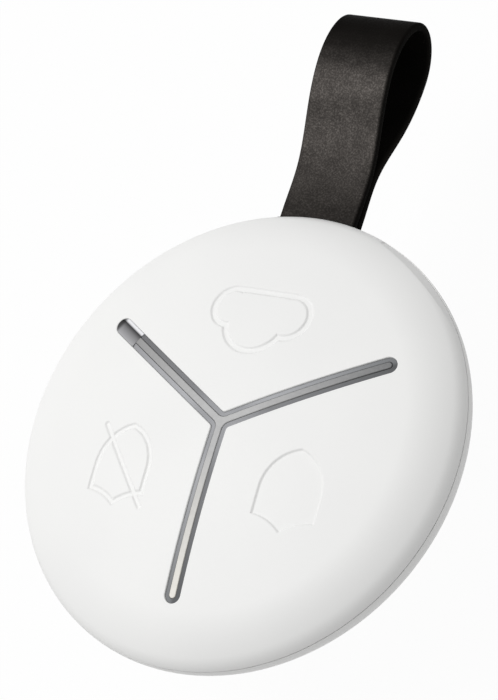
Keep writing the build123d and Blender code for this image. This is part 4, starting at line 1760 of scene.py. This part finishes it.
@dataclass
class Strap:
    """One flat leather band, folded double, with both ends inside the back shell."""

    width: float = 8.9
    thickness: float = 0.95
    layer_gap: float = 0.02
    edge_round: float = 0.28
    tail_start: float = 18.1
    pivot: tuple[float, float] = (25.75, 5.85)
    join: float = 4.65
    front: tuple[tuple[float, float], ...] = ((10.9, 2.7), (16.15, 3.65))
    back: tuple[tuple[float, float], ...] = ((17.25, -4.1), (10.6, -2.95))
    tip: tuple[float, float] = (22.35, -0.35)
    bend_from: float = 24.95
    bend_to: float = 27.6
    # Share of flecks by distance along the outer face in millimetres: real flecks laid on as a painted sheen
    # in front, fading to none as painted shade at the bend
    fleck_sheen_along: tuple[tuple[float, float], ...] = (
        (0.0, 0.2), (8.0, 0.28), (10.0, 0.45), (13.0, 0.62), (15.5, 0.85), (19.0, 0.7), (21.0, 1.0),
        (22.2, 0.85), (24.0, 0.3), (26.0, 0.06), (28.0, 0.0), (70.0, 0.0))
    curve_steps: int = 24
    tail_step: float = 0.5
    spacing: float = 0.3
    edge_facets: int = 5

    def outer_line(self) -> Array:
        """Outer face of the band in the YZ plane, from one layer's start round the loop to the other's.

        Returns:
            Rows of y and z in millimetres.
        """
        t, count = self.thickness, self.curve_steps
        front = smooth_through([(0.0, t), (self.join, t), *self.front], (1.0, 0.0), count)
        tip_y, tip_z = self.tip
        upper, lower = (arc((y, tip_z), np.array([tip_y - y, z - tip_z]), *turn, count)[1:]
                        for (y, z), turn in ((self.front[-1], (90, 0)), (self.back[0], (0, 90))))
        back = smooth_through([*self.back, (self.join, -t), (0.0, -t)], (-1.0, 0.0), count)[1:]
        start = self.tail_start - self.pivot[0]
        inside = steps(start, 0.0, self.tail_step)[:-1]
        head = np.stack([inside, np.full(len(inside), t)], -1)
        tail = np.stack([inside[::-1], np.full(len(inside), -t)], -1)
        return np.concatenate([head, front, upper, lower, back, tail]) + np.array(self.pivot)

    def middle_line(self) -> Array:
        """Middle of the band's thickness, as points in space in metres.

        Returns:
            The points.
        """
        outer = self.outer_line()
        tangent = unit(np.gradient(outer, axis=0))
        inward = np.stack([tangent[:, 1], -tangent[:, 0]], -1)
        middle = outer + inward * self.thickness / 2
        return np.concatenate([np.zeros((len(middle), 1)), middle], axis=1) * MM

    def sweep_tree(self, material: Material) -> Growth:
        """Geometry nodes that sweep a rounded flat section along a line.

        Args:
            material: What the band is made of.

        Returns:
            The tree, with the section's sizes and the spacing as named inputs.
        """
        tree = Growth("band_sweep", {
            "Width": self.width, "Thickness": self.thickness - self.layer_gap, "Edge Radius": self.edge_round,
            "Spacing": self.spacing})
        line = tree.add("GeometryNodeMeshToCurve", Mesh=tree.size("Geometry"))
        even = tree.add("GeometryNodeResampleCurve", {"mode": "LENGTH"}, Curve=line.outputs[0],
                        Length=tree.size("Spacing"))
        flat = tree.add("GeometryNodeCurvePrimitiveQuadrilateral", Width=tree.size("Width"),
                        Height=tree.size("Thickness"))
        section = tree.add("GeometryNodeFilletCurve", {"mode": "POLY"}, Curve=flat.outputs[0],
                           Count=self.edge_facets, Radius=tree.size("Edge Radius"))
        swept = tree.add("GeometryNodeCurveToMesh", Curve=even.outputs[0], Profile_Curve=section.outputs[0],
                         Fill_Caps=True)
        smooth = tree.add("GeometryNodeSetShadeSmooth", Geometry=swept.outputs[0])
        tree.end(smooth.outputs[0], material)
        return tree

    def paint_fleck_sheen(self, piece: Piece) -> None:
        """Mark the share of flecks on the band's outer face: strong in front as a painted sheen, fading
        towards the bend at the tip as painted shade.

        Args:
            piece: The band.
        """
        outer = self.outer_line()
        walked = np.concatenate([[0.0], np.cumsum(np.linalg.norm(np.diff(outer, axis=0), axis=1))])
        place = np.empty(len(piece.data.vertices) * 3)
        piece.data.vertices.foreach_get("co", place)
        place = place.reshape(-1, 3) / MM
        away = np.linalg.norm(place[:, None, 1:] - outer[None], axis=2)
        near, along = away.min(axis=1), walked[away.argmin(axis=1)]
        across = np.clip((self.width / 2 - np.abs(place[:, 0])) / self.edge_round, 0, 1)
        # The flecks' share paints the sheen on the front and the shade at the bend, and stays off the rounded
        # edges and the inner faces
        share = np.interp(along, *zip(*self.fleck_sheen_along)) * across * (near < self.thickness / 3)
        layer = piece.data.attributes.new(STRAP_LEATHER.fleck_sheen_attribute, "FLOAT", "POINT")
        layer.data.foreach_set("value", share.astype(np.float32))

    def build(self, material: Material) -> Piece:
        """Make the band.

        Args:
            material: What it is made of.

        Returns:
            The band's object.
        """
        line = self.middle_line()
        edges = [(k, k + 1) for k in range(len(line) - 1)]
        band = self.sweep_tree(material).grow("strap_band", line, edges)
        self.paint_fleck_sheen(band)
        return band

    def dress(self, wardrobe: Wardrobe) -> None:
        """Build the band, bake its place into its mesh and hide the CAD strap.

        Args:
            wardrobe: Makes and gives the finishes.
        """
        piece = self.build(wardrobe.material(STRAP_LEATHER))
        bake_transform(piece)
        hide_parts("strap_loop", "strap_tail")
        report(piece)


@dataclass
class BoardPieces:
    """Small repeated pieces of the board: screws, key switches and capacitors, each grown on its places."""

    screw_circle: float = SCREW_CIRCLE
    screw_angles: tuple[float, ...] = ARM_ANGLES
    under_board: float = 5.1
    on_board: float = 5.9
    switch_circle: float = SWITCH_CIRCLE
    row_angles: tuple[float, ...] = (90.0, 180.0, 270.0)
    row_reach: float = 3.5
    row_step: float = 1.5
    head_radius: float = 1.05
    head_height: float = 0.6
    core_radius: float = 0.5
    screw_length: float = 3.6
    thread_height: float = 0.09
    thread_pitch: float = 0.45
    thread_share: float = 0.92
    slot_width: float = 0.25
    slot_depth: float = 0.3
    slot_reach: float = 1.3
    slot_under: float = 1.5
    head_sides: int = 64
    core_sides: int = 32
    thread_steps: int = 24
    ridge_sides: int = 4
    case_side: float = 3.6
    case_height: float = 1.12
    plate_side: float = 3.4
    plate_top: float = 1.36
    plate_overlap: float = 0.02
    rivet_radius: float = 0.22
    rivet_place: float = 1.36
    rivet_height: float = 0.04
    rivet_sides: int = 20
    well_radius: float = 1.25
    well_floor: float = 0.25
    well_roof: float = 1.0
    hole_radius: float = 0.85
    well_sides: int = 48
    chip_length: float = 1.0
    chip_width: float = 0.5
    chip_end: float = 0.24
    core_share: float = 0.9
    core_width: float = 0.92

    @staticmethod
    def ring(radius: float, angles: Sequence[float], height: float) -> Array:
        """Places on a circle, in metres."""
        return np.array([turned(np.array([radius, 0.0, height]), angle) for angle in angles]) * MM

    def screws(self, steel: Material) -> Piece:
        """Grow three screws: a head with a cross slot, a shank and its thread.

        Args:
            steel: What they are made of.

        Returns:
            The screws' object.
        """
        tree = Growth("board_screw", {
            "Head Radius": self.head_radius, "Head Height": self.head_height, "Slot Width": self.slot_width,
            "Slot Depth": self.slot_depth, "Core Radius": self.core_radius, "Length": self.screw_length,
            "Thread Height": self.thread_height, "Thread Pitch": self.thread_pitch})
        low = tree.maths("MULTIPLY", tree.size("Head Height"), -1.0)
        head = tree.cylinder(tree.size("Head Radius"), low, 0.0, self.head_sides)
        across = tree.maths("MULTIPLY", tree.size("Head Radius"), self.slot_reach)
        top = tree.maths("ADD", low, tree.size("Slot Depth"))
        under = tree.maths("MULTIPLY", tree.size("Head Height"), -self.slot_under)
        slots = [tree.block(across, tree.size("Slot Width"), under, top, turn) for turn in (0.0, math.pi / 2)]
        shank = tree.cylinder(tree.size("Core Radius"), 0.0, tree.size("Length"), self.core_sides)
        run = tree.maths("MULTIPLY", tree.size("Length"), self.thread_share)
        line = tree.add("GeometryNodeCurveSpiral", Resolution=self.thread_steps, Height=run,
                        Rotations=tree.maths("DIVIDE", run, tree.size("Thread Pitch")),
                        Start_Radius=tree.size("Core Radius"), End_Radius=tree.size("Core Radius"))
        ridge = tree.add("GeometryNodeCurvePrimitiveCircle", Resolution=self.ridge_sides,
                         Radius=tree.size("Thread Height"))
        thread = tree.add("GeometryNodeCurveToMesh", Curve=line.outputs[0], Profile_Curve=ridge.outputs[0],
                          Fill_Caps=True)
        whole = tree.joined(tree.cut(head, slots), shank, thread.outputs[0])
        tree.end(tree.repeated(whole, tree.facing_out()), steel)
        places = self.ring(self.screw_circle, self.screw_angles, self.under_board)
        return tree.grow("cross_slot_screws", places)

    def switches(self, case: Material, plate: Material) -> Piece:
        """Grow three switch cases: a moulded body under a sheet plate held by four rivets.

        Args:
            case: Material of the body.
            plate: Material of the plate and rivets.

        Returns:
            The switches' object.
        """
        tree = Growth("switch_case", {
            "Side": self.case_side, "Body Height": self.case_height, "Plate Side": self.plate_side,
            "Height": self.plate_top, "Rivet Radius": self.rivet_radius, "Rivet Place": self.rivet_place,
            "Well Radius": self.well_radius, "Well Floor": self.well_floor, "Well Roof": self.well_roof,
            "Hole Radius": self.hole_radius})
        side, height, floor = (tree.size(key) for key in ("Side", "Height", "Well Floor"))
        well = tree.cylinder(tree.size("Well Radius"), floor, tree.size("Well Roof"), self.well_sides)
        above = tree.maths("MULTIPLY", height, 2.0)
        hole = tree.cylinder(tree.size("Hole Radius"), floor, above, self.well_sides)
        body = tree.cut(tree.block(side, side, 0.0, tree.size("Body Height")), [well, hole])
        wide = tree.size("Plate Side")
        sunk = tree.maths("SUBTRACT", tree.size("Body Height"), self.plate_overlap * MM)
        sheet = tree.cut(tree.block(wide, wide, sunk, height), [hole])
        out = tree.size("Rivet Place")
        inward = tree.maths("MULTIPLY", out, -1.0)
        head = tree.maths("ADD", height, self.rivet_height * MM)
        rivet = tree.cylinder(tree.size("Rivet Radius"), tree.size("Body Height"), head, self.rivet_sides)
        rivets = [tree.placed(rivet, x, y) for x in (out, inward) for y in (out, inward)]
        metal = tree.marked(tree.joined(sheet, *rivets), "metal")
        tree.end(tree.repeated(tree.joined(body, metal), tree.facing_out()), case, {"metal": plate})
        angles = [sign.value for sign in Symbol]
        return tree.grow("riveted_switches", self.ring(self.switch_circle, angles, self.on_board))

    def capacitors(self, body: Material, metal: Material) -> Piece:
        """Grow the rows of capacitors, each a ceramic body between two metal ends.

        Args:
            body: Material of the body.
            metal: Material of the ends.

        Returns:
            The capacitors' object.
        """
        tree = Growth("chip_capacitor", {
            "Length": self.chip_length, "Width": self.chip_width, "End": self.chip_end})
        long, wide = tree.size("Length"), tree.size("Width")
        thin = tree.maths("MULTIPLY", wide, self.core_width)
        core = tree.block(tree.maths("MULTIPLY", long, self.core_share), thin, 0.0, thin)
        shift = tree.maths("MULTIPLY", tree.maths("SUBTRACT", long, tree.size("End")), 0.5)
        ends = [tree.placed(tree.block(tree.size("End"), wide, 0.0, wide), way)
                for way in (shift, tree.maths("MULTIPLY", shift, -1.0))]
        whole = tree.joined(core, tree.marked(tree.joined(*ends), "metal"))
        tree.end(tree.repeated(whole, tree.facing_axis()), body, {"metal": metal})
        rows = [turned(np.array([self.row_reach, k * self.row_step, self.on_board]), angle)
                for angle in self.row_angles for k in (-1, 0, 1)]
        return tree.grow("ended_capacitors", np.array(rows) * MM)

    def dress(self, wardrobe: Wardrobe) -> None:
        """Grow each kind and let it ride on the front half.

        Args:
            wardrobe: Makes and gives the finishes.
        """
        steel = wardrobe.material(STEEL)
        screws = self.screws(steel)
        switches = self.switches(wardrobe.material(SWITCH_BLACK), steel)
        capacitors = self.capacitors(wardrobe.material(CAPACITOR_TAN), steel)
        for piece, node, slot in (
                (screws, "board_screws", "steel"), (switches, "key_switches", "switch_black"),
                (capacitors, "board_capacitors", "capacitor_tan")):
            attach(piece, "front_half")
            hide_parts(node)
            report(piece)


# Studio


@dataclass(frozen=True)
class Studio:
    """Camera, floor and lights."""

    camera_place: tuple[float, float, float] = (0.361056, -0.184242, 0.576875)
    camera_right: tuple[float, float, float] = (0.84669, 0.30337, -0.43714)
    camera_up: tuple[float, float, float] = (-0.12527, 0.91210, 0.39035)
    camera_back: tuple[float, float, float] = (0.51714, -0.27575, 0.81027)
    lens: float = 354.36
    sensor: float = 36.0
    clip: tuple[float, float] = (0.01, 10.0)
    floor_height: float = -15.0
    floor_reach: float = 3.0
    floor_tone: float = 0.8
    floor_glow: float = 0.96
    world_strength: float = 0.415
    key_power: float = 9.4
    key_size: float = 0.7
    key_way: tuple[float, float, float] = (-0.36, 0.03, 0.93)
    key_distance: float = 1.2

    def set_camera(self) -> None:
        """Place the camera that sees the fob as the photograph does."""
        data = bpy.data.cameras.new("camera")
        data.lens, data.sensor_width = self.lens, self.sensor
        data.clip_start, data.clip_end = self.clip
        camera = bpy.data.objects.new("camera", data)
        bpy.context.scene.collection.objects.link(camera)
        axes = Matrix((self.camera_right, self.camera_up, self.camera_back)).transposed()
        camera.matrix_world = Matrix.Translation(self.camera_place) @ axes.to_4x4()
        bpy.context.scene.camera = camera

    def set_floor(self) -> None:
        """Lay a pale floor that keeps a soft trace of the fob's shadow."""
        reach, z = self.floor_reach, self.floor_height * MM
        corners = [(-reach, -reach, z), (reach, -reach, z), (reach, reach, z), (-reach, reach, z)]
        mesh = bpy.data.meshes.new("floor")
        mesh.from_pydata(corners, [], [(0, 1, 2, 3)])
        floor = bpy.data.objects.new("floor", mesh)
        bpy.context.scene.collection.objects.link(floor)
        made = bpy.data.materials.new("floor_white")
        made.use_nodes = True
        tree = Tree(made.node_tree)
        share = tree.maths("MULTIPLY", tree.unlit(), self.floor_glow)
        matt = tree.add("ShaderNodeBsdfDiffuse", Color=(*[self.floor_tone] * 3, 1.0))
        bright = tree.add("ShaderNodeEmission", Color=(1.0, 1.0, 1.0, 1.0), Strength=1.0)
        mix = tree.add("ShaderNodeMixShader", i0=share, i1=matt.outputs[0], i2=bright.outputs[0])
        out = tree.add("ShaderNodeOutputMaterial")
        tree.feed(out.inputs["Surface"], mix.outputs[0])
        mesh.materials.append(made)

    def set_lights(self) -> None:
        """Light the fob softly from the upper left, with an even sky."""
        scene = bpy.context.scene
        scene.view_settings.view_transform = "Standard"
        world = bpy.data.worlds.new("sky")
        world.use_nodes = True
        tree = Tree(world.node_tree)
        strength = tree.add("ShaderNodeMix", {"data_type": "FLOAT"}, i0=tree.unlit(), i2=self.world_strength,
                            i3=1.0)
        sky = tree.add("ShaderNodeBackground", Color=(1.0, 1.0, 1.0, 1.0), Strength=strength.outputs[0])
        out = tree.add("ShaderNodeOutputWorld")
        tree.feed(out.inputs["Surface"], sky.outputs[0])
        scene.world = world
        way = Vector(self.key_way).normalized()
        lamp = bpy.data.lights.new("key_light", "AREA")
        lamp.energy, lamp.size = self.key_power, self.key_size
        light = bpy.data.objects.new("key_light", lamp)
        light.location = way * self.key_distance
        light.rotation_mode = "QUATERNION"
        light.rotation_quaternion = way.to_track_quat("Z", "Y")
        scene.collection.objects.link(light)


def main() -> None:
    """Build the looks in order and report each piece."""
    logging.basicConfig(level=logging.INFO, format="%(name)s %(message)s")
    studio = Studio()
    studio.set_camera()
    studio.set_lights()
    studio.set_floor()
    wardrobe = Wardrobe()
    profile, groove = CaseProfile(), Groove()
    FrontRing(profile).dress(wardrobe)
    FrontKeys(profile, groove, SymbolPlan()).dress(wardrobe)
    LightLine(profile, groove).dress(wardrobe)
    Strap().dress(wardrobe)
    BoardPieces().dress(wardrobe)
    for name, finish in NODE_FINISHES.items():
        wardrobe.dress(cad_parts[name], finish)
        LOG.info("%s: %s", name, finish.name)


if __name__ == "__main__":
    main()
